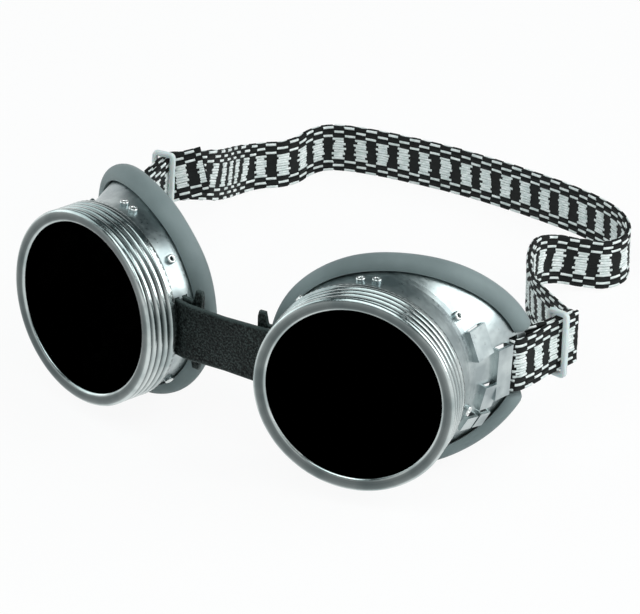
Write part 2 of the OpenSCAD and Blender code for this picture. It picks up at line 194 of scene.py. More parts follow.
class Layout:
    """Places points of the cups' own frames in the row frame."""

    def __init__(self, sizes: Sizes, joints: list[dict]) -> None:
        """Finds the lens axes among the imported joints.

        Args:
            sizes: the shared sizes.
            joints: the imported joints, whose ring axes pass through the two mouths.
        """
        self.s = sizes
        at = {j["name"]: np.array(j["pos_m"], float) for j in joints if "pos_m" in j}
        left, right = at["left_ring_turn"], at["right_ring_turn"]
        self.origin = (left + right) / 2
        self.offset = (right - left)[0] / 2 / MM
        self.temple_depth = sizes.rim_depth(0)
        self.temple_r = sizes.radius(self.temple_depth) - sizes.wall / 2

    def turned(self, side: Side, p: np.ndarray) -> np.ndarray:
        """Turns vectors of a cup's frame into the directions of the row frame.

        Args:
            side: which cup.
            p: rows of x (right), y (up) and z (out through the lens).
        Returns:
            Rows of vectors.
        """
        p = np.atleast_2d(np.asarray(p, float))
        t, a = math.radians(self.s.tilt), side.value * math.radians(self.s.splay)
        y = p[..., 1] * math.sin(t) - p[..., 2] * math.cos(t)
        z = p[..., 1] * math.cos(t) + p[..., 2] * math.sin(t)
        x = p[..., 0]
        return np.stack(
            [x * math.cos(a) - y * math.sin(a), x * math.sin(a) + y * math.cos(a), z], -1
        )

    def place(self, points: np.ndarray) -> np.ndarray:
        """Returns points about the lens axes, in mm, as row-frame metres."""
        return np.atleast_2d(points) * MM + self.origin

    def cup(self, side: Side, p: np.ndarray, handed: bool = True) -> np.ndarray:
        """Points of a cup's frame as points about the lens axes, in mm.

        Args:
            side: which cup.
            p: rows of cup coordinates, with x towards the temple where handed.
            handed: whether x is mirrored on the left cup.
        Returns:
            Rows of points, for place().
        """
        p = np.array(np.atleast_2d(p), float)
        if handed:
            p[..., 0] *= side.value
        return self.turned(side, p) + np.array([side.value * self.offset, 0, 0])

    def cup_matrix(self, side: Side) -> Matrix:
        """Returns the matrix from a cup's unmirrored frame, in metres, to the row frame."""
        axes = self.turned(side, np.eye(3))
        out = Matrix(axes.tolist()).transposed().to_4x4()
        out.translation = Vector(self.place(self.cup(side, np.zeros((1, 3))))[0])
        return out

    def temple(self, side: Side, along: float, across: float, up: float) -> np.ndarray:
        """A point by the rim at the temple, for place().

        Args:
            side: which cup.
            along: distance behind the rim, along the wall.
            across: distance out of the wall's middle.
            up: height over the lens axis.
        Returns:
            The point.
        """
        b = self.s.flare_angle
        r = self.temple_r + along * math.sin(b) + across * math.cos(b)
        z = -self.temple_depth - along * math.cos(b) + across * math.sin(b)
        return self.cup(side, np.array([[r, up, z]]))[0]


# Colours, nodes and finishes


def linear(code: str) -> tuple[float, float, float, float]:
    """Turns an sRGB hex colour into linear values.

    Args:
        code: six hex digits after a hash.
    Returns:
        Red, green, blue and alpha.
    """
    part = [int(code[i : i + 2], 16) / 255 for i in (1, 3, 5)]
    r, g, b = (c / 12.92 if c <= 0.04045 else ((c + 0.055) / 1.055) ** 2.4 for c in part)
    return (r, g, b, 1.0)


def feed(tree: Tree, node: Node, inputs: dict) -> None:
    """Sets or links the inputs of a node.

    Args:
        tree: the tree that holds it.
        node: the node.
        inputs: constants or output sockets by input name or number.
    """
    for key, value in inputs.items():
        if isinstance(value, Socket):
            tree.links.new(value, node.inputs[key])
        else:
            node.inputs[key].default_value = value


def add(tree: Tree, kind: str, inputs: dict | None = None, **settings: object) -> Node:
    """Adds a node with its settings and links.

    Args:
        tree: the tree that gets it.
        kind: the node's type.
        inputs: constants or output sockets by input name or number.
        settings: properties of the node itself.
    Returns:
        The node.
    """
    node = tree.nodes.new(kind)
    for key, value in settings.items():
        setattr(node, key, value)
    feed(tree, node, inputs or {})
    return node


@dataclass(frozen=True)
class Finish:
    """A surface of one real material."""

    name: str
    dark: str
    light: str

    def dress(self, tree: Tree, shader: Node, at: Socket) -> None:
        """Adds the material's own nodes.

        Args:
            tree: the material's tree.
            shader: its shader.
            at: object coordinates in metres.
        """
        raise NotImplementedError

    def build(self) -> Material:
        """Returns the material."""
        material = bpy.data.materials.new(self.name)
        material.use_nodes = True
        tree = material.node_tree
        at = add(tree, "ShaderNodeTexCoord").outputs["Object"]
        self.dress(tree, tree.nodes["Principled BSDF"], at)
        return material


@dataclass(frozen=True)
class Aluminium(Finish):
    """Bright sheet aluminium, mottled by handling, with painted shade in its grooves.

    The mottling is about 8 mm across, and the fine marks of the rollers and dies 1 mm.
    """

    rough: float
    mottle_mm: float = 8.0
    mark_mm: float = 1.0
    mark_depth_mm: float = 0.01
    # Colour of the painted shade in the thread's grooves, the knurls' cuts and on the lip
    dirt: str = "#30393a"

    def dress(self, tree: Tree, shader: Node, at: Socket) -> None:
        """Adds the metal's nodes."""
        mottle = add(
            tree, "ShaderNodeTexNoise", {"Vector": at, "Scale": 1000 / self.mottle_mm, "Detail": 3.0}
        ).outputs["Fac"]
        fine = add(
            tree, "ShaderNodeTexNoise", {"Vector": at, "Scale": 1000 / self.mark_mm, "Detail": 3.0}
        ).outputs["Fac"]
        patch = add(
            tree, "ShaderNodeMapRange", {"Value": mottle, "From Min": 0.38, "From Max": 0.62}
        ).outputs["Result"]
        sheet = add(
            tree,
            "ShaderNodeMix",
            {"Factor": patch, 6: linear(self.dark), 7: linear(self.light)},
            data_type="RGBA",
        ).outputs[2]
        # Painted shade, baked into the ring by the thread's tree
        groove = add(tree, "ShaderNodeAttribute", attribute_name="groove").outputs["Fac"]
        colour = add(
            tree, "ShaderNodeMix", {"Factor": groove, 6: sheet, 7: linear(self.dirt)}, data_type="RGBA"
        ).outputs[2]
        rough = add(
            tree,
            "ShaderNodeMapRange",
            {"Value": fine, "From Min": 0.3, "From Max": 0.7, "To Min": self.rough - 0.05,
             "To Max": self.rough + 0.09},
        ).outputs["Result"]
        dents = add(
            tree, "ShaderNodeBump", {"Height": mottle, "Strength": 0.22, "Distance": 0.00005}
        ).outputs["Normal"]
        normal = add(
            tree,
            "ShaderNodeBump",
            {"Height": fine, "Strength": 0.15, "Distance": self.mark_depth_mm * MM, "Normal": dents},
        ).outputs["Normal"]
        feed(
            tree,
            shader,
            {"Base Color": colour, "Metallic": 1.0, "Roughness": rough, "Normal": normal},
        )


@dataclass(frozen=True)
class Rubber(Finish):
    """Matte moulded rubber: an even skin with faint clouds and a dusty bloom.

    The clouds are about 18 mm across and the grain 0.7 mm, as fine as the picture shows.
    """

    grain_mm: float = 0.7
    cloud_mm: float = 18.0

    def dress(self, tree: Tree, shader: Node, at: Socket) -> None:
        """Adds the rubber's nodes."""
        cloud = add(
            tree, "ShaderNodeTexNoise", {"Vector": at, "Scale": 1000 / self.cloud_mm, "Detail": 4.0}
        ).outputs["Fac"]
        grain = add(
            tree, "ShaderNodeTexNoise", {"Vector": at, "Scale": 1000 / self.grain_mm, "Detail": 3.0}
        ).outputs["Fac"]
        patch = add(
            tree, "ShaderNodeMapRange", {"Value": cloud, "From Min": 0.3, "From Max": 0.7}
        ).outputs["Result"]
        colour = add(
            tree,
            "ShaderNodeMix",
            {"Factor": patch, 6: linear(self.dark), 7: linear(self.light)},
            data_type="RGBA",
        ).outputs[2]
        skin = add(
            tree, "ShaderNodeBump", {"Height": grain, "Strength": 0.35, "Distance": 0.00006}
        ).outputs["Normal"]
        normal = add(
            tree,
            "ShaderNodeBump",
            {"Height": cloud, "Strength": 0.3, "Distance": 0.0004, "Normal": skin},
        ).outputs["Normal"]
        feed(
            tree,
            shader,
            {"Base Color": colour, "Roughness": 0.66, "Specular IOR Level": 0.35,
             "Sheen Weight": 0.12, "Sheen Roughness": 0.5, "Normal": normal},
        )


@dataclass(frozen=True)
class Glass(Finish):
    """Flat lens glass with faint smears about 11 mm across."""

    rough: float
    ior: float
    clear: float = 0.0
    smear_mm: float = 11.0

    def dress(self, tree: Tree, shader: Node, at: Socket) -> None:
        """Adds the glass's nodes."""
        smear = add(
            tree, "ShaderNodeTexNoise", {"Vector": at, "Scale": 1000 / self.smear_mm, "Detail": 3.0}
        ).outputs["Fac"]
        rough = add(
            tree,
            "ShaderNodeMapRange",
            {"Value": smear, "From Min": 0.35, "From Max": 0.75, "To Min": self.rough,
             "To Max": 2 * self.rough},
        ).outputs["Result"]
        colour = add(
            tree,
            "ShaderNodeMix",
            {"Factor": smear, 6: linear(self.dark), 7: linear(self.light)},
            data_type="RGBA",
        ).outputs[2]
        feed(
            tree,
            shader,
            {"Base Color": colour, "Roughness": rough, "IOR": self.ior,
             "Transmission Weight": self.clear},
        )


@dataclass(frozen=True)
class Leather(Finish):
    """Black cowhide: pebbles 0.8 mm across, a 0.5 mm grain with painted glints, patchy wear and pale
    cut edges.

    The edge attribute is 1 on the strap's cut edges.
    """

    pebble_mm: float = 0.8
    pore_mm: float = 0.5
    wear_mm: float = 6.25
    cut: str = "#46504f"

    def dress(self, tree: Tree, shader: Node, at: Socket) -> None:
        """Adds the leather's nodes."""
        pebble = add(
            tree, "ShaderNodeTexVoronoi", {"Vector": at, "Scale": 1000 / self.pebble_mm}
        ).outputs["Distance"]
        wear = add(
            tree, "ShaderNodeTexNoise", {"Vector": at, "Scale": 1000 / self.wear_mm, "Detail": 4.0}
        ).outputs["Fac"]
        pores = add(
            tree, "ShaderNodeTexNoise", {"Vector": at, "Scale": 1000 / self.pore_mm, "Detail": 2.0}
        ).outputs["Fac"]
        # Painted glints: pale specks where the fine noise is high, gathered into the wear noise's
        # patches
        painted_glints = add(
            tree, "ShaderNodeMapRange", {"Value": pores, "From Min": 0.42, "From Max": 0.75}
        ).outputs["Result"]
        painted_light = add(tree, "ShaderNodeMath", {0: painted_glints, 1: wear}, operation="MULTIPLY").outputs[0]
        tone = add(
            tree,
            "ShaderNodeMix",
            {"Factor": painted_light, 6: linear(self.dark), 7: linear(self.light)},
            data_type="RGBA",
        ).outputs[2]
        edge = add(tree, "ShaderNodeAttribute", attribute_name="edge").outputs["Fac"]
        colour = add(
            tree, "ShaderNodeMix", {"Factor": edge, 6: tone, 7: linear(self.cut)}, data_type="RGBA"
        ).outputs[2]
        rough = add(
            tree, "ShaderNodeMapRange", {"Value": wear, "To Min": 0.32, "To Max": 0.5}
        ).outputs["Result"]
        grain = add(
            tree,
            "ShaderNodeBump",
            {"Height": pebble, "Strength": 0.9, "Distance": 0.0003},
            invert=True,
        ).outputs["Normal"]
        normal = add(
            tree,
            "ShaderNodeBump",
            {"Height": pores, "Strength": 0.4, "Distance": 0.00006, "Normal": grain},
        ).outputs["Normal"]
        feed(
            tree,
            shader,
            {"Base Color": colour, "Roughness": rough, "Specular IOR Level": 0.1, "Normal": normal},
        )


@dataclass(frozen=True)
class Yarn(Finish):
    """Spun rayon over rubber: strands 0.25 mm wide that run along the band.

    The flow attribute holds the distance along the band and the height on it, in metres.
    """

    strand_mm: float = 0.25

    def dress(self, tree: Tree, shader: Node, at: Socket) -> None:
        """Adds the yarn's nodes."""
        flow = add(tree, "ShaderNodeAttribute", attribute_name="flow").outputs["Vector"]
        drawn = add(
            tree, "ShaderNodeMapping", {"Vector": flow, "Scale": (0.22, 1.0, 1.0)}
        ).outputs["Vector"]
        strand = add(
            tree,
            "ShaderNodeTexNoise",
            {"Vector": drawn, "Scale": 1000 / self.strand_mm / 2, "Detail": 3.0},
        ).outputs["Fac"]
        patch = add(
            tree, "ShaderNodeMapRange", {"Value": strand, "From Min": 0.3, "From Max": 0.65}
        ).outputs["Result"]
        colour = add(
            tree,
            "ShaderNodeMix",
            {"Factor": patch, 6: linear(self.dark), 7: linear(self.light)},
            data_type="RGBA",
        ).outputs[2]
        normal = add(
            tree, "ShaderNodeBump", {"Height": strand, "Strength": 0.5, "Distance": 0.00012}
        ).outputs["Normal"]
        feed(
            tree,
            shader,
            {"Base Color": colour, "Roughness": 0.75, "Specular IOR Level": 0.3, "Normal": normal},
        )


@dataclass(frozen=True)
class Polythene(Finish):
    """Milky moulded polythene that lets a little light in, with clouds 4 mm across."""

    cloud_mm: float = 4.0

    def dress(self, tree: Tree, shader: Node, at: Socket) -> None:
        """Adds the plastic's nodes."""
        cloud = add(
            tree, "ShaderNodeTexNoise", {"Vector": at, "Scale": 1000 / self.cloud_mm, "Detail": 3.0}
        ).outputs["Fac"]
        colour = add(
            tree,
            "ShaderNodeMix",
            {"Factor": cloud, 6: linear(self.dark), 7: linear(self.light)},
            data_type="RGBA",
        ).outputs[2]
        rough = add(
            tree, "ShaderNodeMapRange", {"Value": cloud, "To Min": 0.28, "To Max": 0.42}
        ).outputs["Result"]
        normal = add(
            tree, "ShaderNodeBump", {"Height": cloud, "Strength": 0.3, "Distance": 0.00008}
        ).outputs["Normal"]
        feed(
            tree,
            shader,
            {"Base Color": colour, "Roughness": rough, "Subsurface Weight": 0.2,
             "Subsurface Scale": 0.002, "Normal": normal},
        )


FINISHES: dict[str, Finish] = {
    # Drawn aluminium of the eyecups: a soft mirror with cloudy patches
    "cup": Aluminium("drawn_aluminium", "#9ea9ab", "#c6d0d0", rough=0.32),
    # Rolled aluminium of the screw rings: brighter on its ridges, with painted shade in its grooves
    "ring": Aluminium("rolled_aluminium", "#a9b5b5", "#d0d9d8", rough=0.18),
    # Nickel-plated brass of the pierced vents' beads: small sharp highlights
    "bead": Aluminium("nickel_plated_brass", "#d2d9d8", "#f2f4f2", rough=0.26),
    # Moulded grey rubber of the padding: dull and slightly green
    "pad": Rubber("grey_rubber", "#6f7b7c", "#879394"),
    # Cut gasket fibre: dark and dry
    "gasket": Rubber("gasket_fibre", "#1b1e1e", "#2a2e2e", grain_mm=0.4),
    # Clear bloomed cover glass: hardly seen but for what is behind it
    "cover": Glass("clear_glass", "#eef5f2", "#f6faf8", rough=0.0, ior=1.0, clear=1.0),
    # Dark filter glass: black, with hardly any reflection of its own behind the cover glass
    "filter": Glass("dark_filter_glass", "#000000", "#000000", rough=0.2, ior=1.01),
    # Black grained cowhide of the nose strap: low pebbles under a fine grain of pale painted glints
    "leather": Leather("black_cowhide", "#0a0f0f", "#5a6563"),
    # Black rayon of the band's ground
    "ground": Yarn("black_rayon", "#060808", "#121616"),
    # White rayon of the band's floats
    "float": Yarn("white_rayon", "#d4dcda", "#fbfdfc"),
    # White polythene of the sliders
    "plastic": Polythene("white_polythene", "#cdd8d9", "#e6eeee"),
}


# Mesh helpers


def finish_mesh(obj: Object, sharp: float, outward: bool = True) -> None:
    """Turns a mesh's faces outward and smooths it.

    Args:
        obj: the object.
        sharp: angle in degrees above which an edge stays sharp.
        outward: whether the faces are turned.
    """
    if outward:
        bm = bmesh.new()
        bm.from_mesh(obj.data)
        bmesh.ops.recalc_face_normals(bm, faces=bm.faces)
        bm.to_mesh(obj.data)
        bm.free()
    obj.data.shade_smooth()
    obj.data.set_sharp_from_angle(angle=math.radians(sharp))


def raw(
    name: str,
    points: np.ndarray,
    edges: list,
    faces: list,
    attributes: dict[str, np.ndarray] | None = None,
) -> Object:
    """Makes a linked object from points in metres.

    Args:
        name: the object's name.
        points: rows of coordinates.
        edges: pairs of indices.
        faces: tuples of indices.
        attributes: values for each point, single ones or rows of three.
    Returns:
        The object.
    """
    mesh = bpy.data.meshes.new(name)
    mesh.from_pydata(np.asarray(points).reshape(-1, 3).tolist(), edges, faces)
    for key, values in (attributes or {}).items():
        wide = values.ndim > 1 and values.shape[-1] == 3 and values.size == 3 * len(mesh.vertices)
        layer = mesh.attributes.new(key, "FLOAT_VECTOR" if wide else "FLOAT", "POINT")
        layer.data.foreach_set("vector" if wide else "value", values.ravel().astype(np.float32))
    obj = bpy.data.objects.new(name, mesh)
    bpy.context.scene.collection.objects.link(obj)
    return obj


def tube(
    name: str, rows: np.ndarray, loop: bool, attributes: dict[str, np.ndarray] | None = None
) -> Object:
    """Makes a closed surface through rings of points.

    Args:
        name: the object's name.
        rows: array of rings, points and coordinates, in metres.
        loop: whether the last ring joins the first, instead of both ends being capped.
        attributes: values for each point.
    Returns:
        The object.
    """
    m, n = rows.shape[:2]
    i = np.arange(m if loop else m - 1)[:, None]
    j = np.arange(n)[None, :]
    ahead, beside = ((i + 1) % m) * n, (j + 1) % n
    quads = np.stack([i * n + j, i * n + beside, ahead + beside, ahead + j], -1)
    faces = quads.reshape(-1, 4).tolist()
    if not loop:
        faces += [list(range(n))[::-1], list(range((m - 1) * n, m * n))]
    return raw(name, rows, [], faces, attributes)


def unit(v: np.ndarray) -> np.ndarray:
    """Returns unit vectors of rows."""
    return v / np.maximum(np.linalg.norm(v, axis=-1, keepdims=True), 1e-12)


def hem(y: float) -> float:
    """Returns 0 on a ribbon and up to 1 in its last 7 %, by the share of its half width."""
    return max(0.0, (abs(y) - 0.93) / 0.07)


# Geometry Nodes


def group(name: str, inputs: dict[str, str]) -> tuple[Tree, Node]:
    """Starts a Geometry Nodes tree with named inputs.

    Args:
        name: the tree's name.
        inputs: socket types by name, after the geometry itself.
    Returns:
        The tree and its input node.
    """
    tree = bpy.data.node_groups.new(name, "GeometryNodeTree")
    for key, kind in {"Geometry": "NodeSocketGeometry", **inputs}.items():
        tree.interface.new_socket(key, in_out="INPUT", socket_type=kind)
    tree.interface.new_socket("Geometry", in_out="OUTPUT", socket_type="NodeSocketGeometry")
    return tree, add(tree, "NodeGroupInput")


def close(tree: Tree, shape: Socket, material: Socket) -> None:
    """Ends a tree in Realize Instances and Set Material.

    Args:
        tree: the tree.
        shape: the geometry that it gives.
        material: the material input.
    """
    real = add(tree, "GeometryNodeRealizeInstances", {"Geometry": shape}).outputs["Geometry"]
    dressed = add(tree, "GeometryNodeSetMaterial", {"Geometry": real, "Material": material})
    add(tree, "NodeGroupOutput", {"Geometry": dressed.outputs["Geometry"]})


def bake(obj: Object, tree: Tree, values: dict[str, object]) -> None:
    """Runs a tree on an object and keeps the result as its plain mesh.

    Args:
        obj: the object with the tree's starting geometry.
        tree: the tree.
        values: the inputs by name.
    """
    modifier = obj.modifiers.new("shape", "NODES")
    modifier.node_group = tree
    for item in tree.interface.items_tree:
        if item.in_out == "INPUT" and item.name in values:
            modifier[item.identifier] = values[item.name]
    seen = bpy.context.evaluated_depsgraph_get()
    mesh = bpy.data.meshes.new_from_object(
        obj.evaluated_get(seen), preserve_all_data_layers=True, depsgraph=seen
    )
    obj.modifiers.remove(modifier)
    start, obj.data = obj.data, mesh
    bpy.data.meshes.remove(start)
    mesh.name = obj.name


def thread_tree() -> Tree:
    """Rolls a right-hand thread into a turned sleeve, and knurls its bead.

    The share attribute says how much of the thread a point gets, the bead attribute how much of
    the knurling, and the third one how much painted shade the lip gets. The grooves of the thread
    and the cuts of the knurls get painted shade as well.

    Returns:
        The tree.
    """
    tree, given = group(
        "rolled_thread",
        {"Pitch": "NodeSocketFloat", "Height": "NodeSocketFloat", "Sharpness": "NodeSocketFloat",
         "Knurls": "NodeSocketFloat", "Knurl depth": "NodeSocketFloat",
         "Material": "NodeSocketMaterial"},
    )
    at = add(tree, "GeometryNodeInputPosition").outputs[0]
    xyz = add(tree, "ShaderNodeSeparateXYZ", {0: at}).outputs
    angle = add(tree, "ShaderNodeMath", {0: xyz["Y"], 1: xyz["X"]}, operation="ARCTAN2").outputs[0]
    turns = add(
        tree, "ShaderNodeMath", {0: xyz["Z"], 1: given.outputs["Pitch"]}, operation="DIVIDE"
    ).outputs[0]
    lead = add(
        tree, "ShaderNodeMath", {0: turns, 1: -2 * math.pi, 2: angle}, operation="MULTIPLY_ADD"
    ).outputs[0]
    wave = add(tree, "ShaderNodeMath", {0: lead}, operation="COSINE").outputs[0]
    low = add(
        tree, "ShaderNodeMath", {0: wave, 1: -0.5, 2: 0.5}, operation="MULTIPLY_ADD"
    ).outputs[0]
    # Rolled ridges are broad and the grooves between them narrow
    deep = add(
        tree, "ShaderNodeMath", {0: low, 1: given.outputs["Sharpness"]}, operation="POWER"
    ).outputs[0]
    crest = add(
        tree, "ShaderNodeMath", {0: deep, 1: -1.0, 2: 0.5}, operation="MULTIPLY_ADD"
    ).outputs[0]
    share, bead, dull = (
        add(
            tree, "GeometryNodeInputNamedAttribute", {"Name": key}, data_type="FLOAT"
        ).outputs["Attribute"]
        for key in ("share", "bead", "dull")
    )
    part = add(tree, "ShaderNodeMath", {0: crest, 1: share}, operation="MULTIPLY").outputs[0]
    rise = add(
        tree, "ShaderNodeMath", {0: part, 1: given.outputs["Height"]}, operation="MULTIPLY"
    ).outputs[0]
    ticks = add(
        tree, "ShaderNodeMath", {0: angle, 1: given.outputs["Knurls"]}, operation="MULTIPLY"
    ).outputs[0]
    tick = add(tree, "ShaderNodeMath", {0: ticks}, operation="COSINE").outputs[0]
    cut = add(
        tree, "ShaderNodeMath", {0: tick, 1: 0.5, 2: -0.5}, operation="MULTIPLY_ADD"
    ).outputs[0]
    cut_here = add(tree, "ShaderNodeMath", {0: cut, 1: bead}, operation="MULTIPLY").outputs[0]
    lift = add(
        tree,
        "ShaderNodeMath",
        {0: cut_here, 1: given.outputs["Knurl depth"], 2: rise},
        operation="MULTIPLY_ADD",
    ).outputs[0]
    flat = add(tree, "ShaderNodeCombineXYZ", {"X": xyz["X"], "Y": xyz["Y"]}).outputs[0]
    outward = add(tree, "ShaderNodeVectorMath", {0: flat}, operation="NORMALIZE").outputs[0]
    offset = add(
        tree, "ShaderNodeVectorMath", {0: outward, "Scale": lift}, operation="SCALE"
    ).outputs[0]
    # Painted shade: dark in the thread's grooves and across the shaded parts of the lip
    dirt = add(
        tree, "ShaderNodeMath", {0: deep, 1: share, 2: dull}, operation="MULTIPLY_ADD"
    ).outputs[0]
    # and darker still in the knurls' cuts, all of it painted shade
    painted_light = add(tree, "ShaderNodeMath", {0: cut_here, 1: -0.7, 2: dirt}, operation="MULTIPLY_ADD")
    marked = add(
        tree,
        "GeometryNodeStoreNamedAttribute",
        {"Geometry": given.outputs["Geometry"], "Name": "groove", "Value": painted_light.outputs[0]},
        data_type="FLOAT",
        domain="POINT",
    ).outputs["Geometry"]
    moved = add(tree, "GeometryNodeSetPosition", {"Geometry": marked, "Offset": offset})
    close(tree, moved.outputs["Geometry"], given.outputs["Material"])
    return tree


def float_tree() -> Tree:
    """Lays flattened yarns along the edges of a mesh of lines.

    The swell attribute is the yarn's share of its full thickness at each point.

    Returns:
        The tree.
    """
    tree, given = group(
        "woven_floats",
        {"Half width": "NodeSocketFloat", "Half height": "NodeSocketFloat",
         "Material": "NodeSocketMaterial"},
    )
    swell = add(
        tree, "GeometryNodeInputNamedAttribute", {"Name": "swell"}, data_type="FLOAT"
    ).outputs["Attribute"]
    lines = add(
        tree, "GeometryNodeMeshToCurve", {"Mesh": given.outputs["Geometry"]}
    ).outputs["Curve"]
    stood = add(tree, "GeometryNodeSetCurveNormal", {"Curve": lines}, mode="Z_UP")
    sized = add(
        tree, "GeometryNodeSetCurveRadius", {"Curve": stood.outputs["Curve"], "Radius": swell}
    ).outputs["Curve"]
    circle = add(
        tree, "GeometryNodeCurvePrimitiveCircle", {"Resolution": 6, "Radius": 1.0}
    ).outputs["Curve"]
    scale = add(
        tree,
        "ShaderNodeCombineXYZ",
        {"X": given.outputs["Half height"], "Y": given.outputs["Half width"], "Z": 1.0},
    ).outputs[0]
    section = add(tree, "GeometryNodeTransform", {"Geometry": circle, "Scale": scale})
    swept = add(
        tree,
        "GeometryNodeCurveToMesh",
        {"Curve": sized, "Profile Curve": section.outputs["Geometry"], "Fill Caps": True},
    ).outputs["Mesh"]
    close(tree, swept, given.outputs["Material"])
    return tree


def bead_tree() -> Tree:
    """Sets a round bead on each point, square to the facing attribute.

    Returns:
        The tree.
    """
    tree, given = group(
        "vent_beads",
        {"Radius": "NodeSocketFloat", "Bead": "NodeSocketFloat", "Material": "NodeSocketMaterial"},
    )
    facing = add(
        tree, "GeometryNodeInputNamedAttribute", {"Name": "facing"}, data_type="FLOAT_VECTOR"
    ).outputs["Attribute"]
    turn = add(tree, "FunctionNodeAlignRotationToVector", {"Vector": facing}, axis="Z")
    ring = add(
        tree,
        "GeometryNodeCurvePrimitiveCircle",
        {"Resolution": 28, "Radius": given.outputs["Radius"]},
    ).outputs["Curve"]
    section = add(
        tree,
        "GeometryNodeCurvePrimitiveCircle",
        {"Resolution": 12, "Radius": given.outputs["Bead"]},
    ).outputs["Curve"]
    bead = add(
        tree, "GeometryNodeCurveToMesh", {"Curve": ring, "Profile Curve": section}
    ).outputs["Mesh"]
    beads = add(
        tree,
        "GeometryNodeInstanceOnPoints",
        {"Points": given.outputs["Geometry"], "Instance": bead, "Rotation": turn.outputs[0]},
    ).outputs["Instances"]
    close(tree, beads, given.outputs["Material"])
    return tree


@dataclass
class Path:
    """A ribbon's middle line in mm, with its upward edge direction and width."""

    points: np.ndarray
    ups: np.ndarray
    widths: np.ndarray
    at: np.ndarray = field(init=False)

    def __post_init__(self) -> None:
        """Measures the line."""
        step = np.linalg.norm(np.diff(self.points, axis=0), axis=1)
        self.at = np.concatenate([[0], np.cumsum(step)])

    @property
    def length(self) -> float:
        """Returns the length along the middle line, in mm."""
        return float(self.at[-1])

    def smoothed(self, spacing: float, rounds: int) -> "Path":
        """Resamples the line evenly and rounds its corners.

        Args:
            spacing: distance between stations, in mm.
            rounds: how many times each station is averaged with its neighbours.
        Returns:
            A new path.
        """
        t = np.linspace(0, self.length, max(8, int(self.length / spacing)) + 1)
        points, ups = (
            np.stack([np.interp(t, self.at, a[:, k]) for k in range(3)], 1)
            for a in (self.points, self.ups)
        )
        for _ in range(rounds):
            for a in (points, ups):
                a[1:-1] = (a[:-2] + 2 * a[1:-1] + a[2:]) / 4
        return Path(points, unit(ups), np.interp(t, self.at, self.widths))

    def surface(self, u: np.ndarray, v: np.ndarray, h: np.ndarray) -> np.ndarray:
        """Points on or near the ribbon.

        Args:
            u: distance from the start, in mm.
            v: height above the middle line.
            h: distance out of the middle surface.
        Returns:
            Points of the same shape with three coordinates, for place().
        """
        way = unit(np.gradient(self.points, axis=0))
        out = unit(np.cross(way, self.ups))
        up = unit(np.cross(out, way))
        at, out_at, up_at = (
            np.stack([np.interp(u, self.at, a[:, k]) for k in range(3)], -1)
            for a in (self.points, out, up)
        )
        return at + unit(up_at) * v[..., None] + unit(out_at) * h[..., None]


# Sub-assemblies


